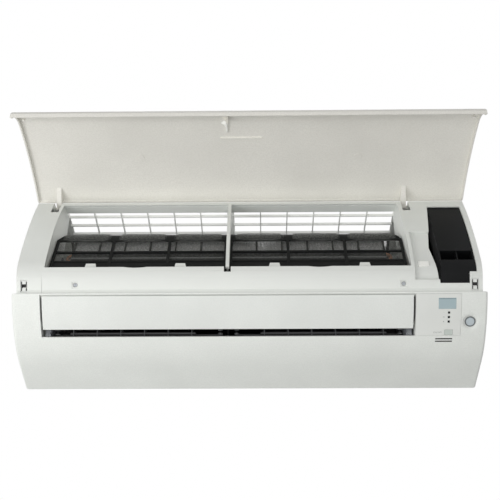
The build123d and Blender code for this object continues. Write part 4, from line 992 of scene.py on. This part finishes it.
# ---------------------------------------------------------------- camera, light and floor
CAMERA_PLACE = at(23.1, -1396.0, -727.1)
CAMERA_PITCH = 36.711
CAMERA_YAW = 1.016
CAMERA_ROLL = 0.30
FOCAL_PIXELS = 861.5
PHOTO_PIXELS = 500
SENSOR = 36.0

lens = bpy.data.cameras.new("camera")
lens.sensor_width = SENSOR
lens.lens = FOCAL_PIXELS * SENSOR / PHOTO_PIXELS
lens.clip_start = 0.05
camera = bpy.data.objects.new("camera", lens)
turn = Matrix.Rotation(math.radians(CAMERA_YAW), 4, "Z")
tilt = Matrix.Rotation(math.radians(90 + CAMERA_PITCH), 4, "X")
roll = Matrix.Rotation(math.radians(CAMERA_ROLL), 4, "Z")
camera.matrix_world = Matrix.Translation(CAMERA_PLACE) @ turn @ tilt @ roll
scene = bpy.context.scene
scene.collection.objects.link(camera)
scene.camera = camera
scene.view_settings.view_transform = "Standard"


def area_lamp(name, place, aim, size, power):
    """Soft square lamp that looks at a point."""
    lamp = bpy.data.lights.new(name, "AREA")
    lamp.size = size
    lamp.energy = power
    holder = bpy.data.objects.new(name, lamp)
    place = Vector(place)
    facing = (Vector(aim) - place).to_track_quat("-Z", "Y").to_matrix().to_4x4()
    holder.matrix_world = Matrix.Translation(place) @ facing
    scene.collection.objects.link(holder)


area_lamp("side_lamp", (-1.3, -1.0, -0.9), (0, -0.15, 0.1), 0.9, 12.5)
area_lamp("front_lamp", (0.0, -1.6, -1.1), (0, -0.15, 0.1), 1.2, 12.8)
area_lamp("top_lamp", (0.0, 0.7, 1.5), (0, -0.2, 0.1), 1.0, 3.0)

FLOOR_HEIGHT = -1.25
WORLD_LEVEL = 0.45  # as light; the camera and reflections see plain white
world = bpy.data.worlds.new("studio")
scene.world = world
world.use_nodes = True
sky = world.node_tree.nodes["Background"]
path = world.node_tree.nodes.new("ShaderNodeLightPath")
seen = world.node_tree.nodes.new("ShaderNodeMath")
seen.operation = "MAXIMUM"
world.node_tree.links.new(path.outputs["Is Camera Ray"], seen.inputs[0])
world.node_tree.links.new(path.outputs["Is Glossy Ray"], seen.inputs[1])
strength = world.node_tree.nodes.new("ShaderNodeMapRange")
strength.inputs["To Min"].default_value = WORLD_LEVEL
strength.inputs["To Max"].default_value = 1.0
world.node_tree.links.new(seen.outputs[0], strength.inputs["Value"])
world.node_tree.links.new(strength.outputs["Result"], sky.inputs["Strength"])
sky.inputs["Color"].default_value = (1.0, 1.0, 1.0, 1.0)


def studio_floor():
    """Plain pale floor under the unit."""
    sheet = bmesh.new()
    bmesh.ops.create_grid(sheet, x_segments=8, y_segments=8, size=6.0)
    bmesh.ops.translate(sheet, vec=(0, 0, FLOOR_HEIGHT), verts=sheet.verts)
    mesh = bpy.data.meshes.new("floor")
    sheet.to_mesh(mesh)
    sheet.free()
    floor = bpy.data.objects.new("floor", mesh)
    scene.collection.objects.link(floor)
    shade(floor, moulded("floor_paint", (0.80, 0.80, 0.79), 0.6, 200.0, 0.0, 0.0, 0.01))


studio_floor()
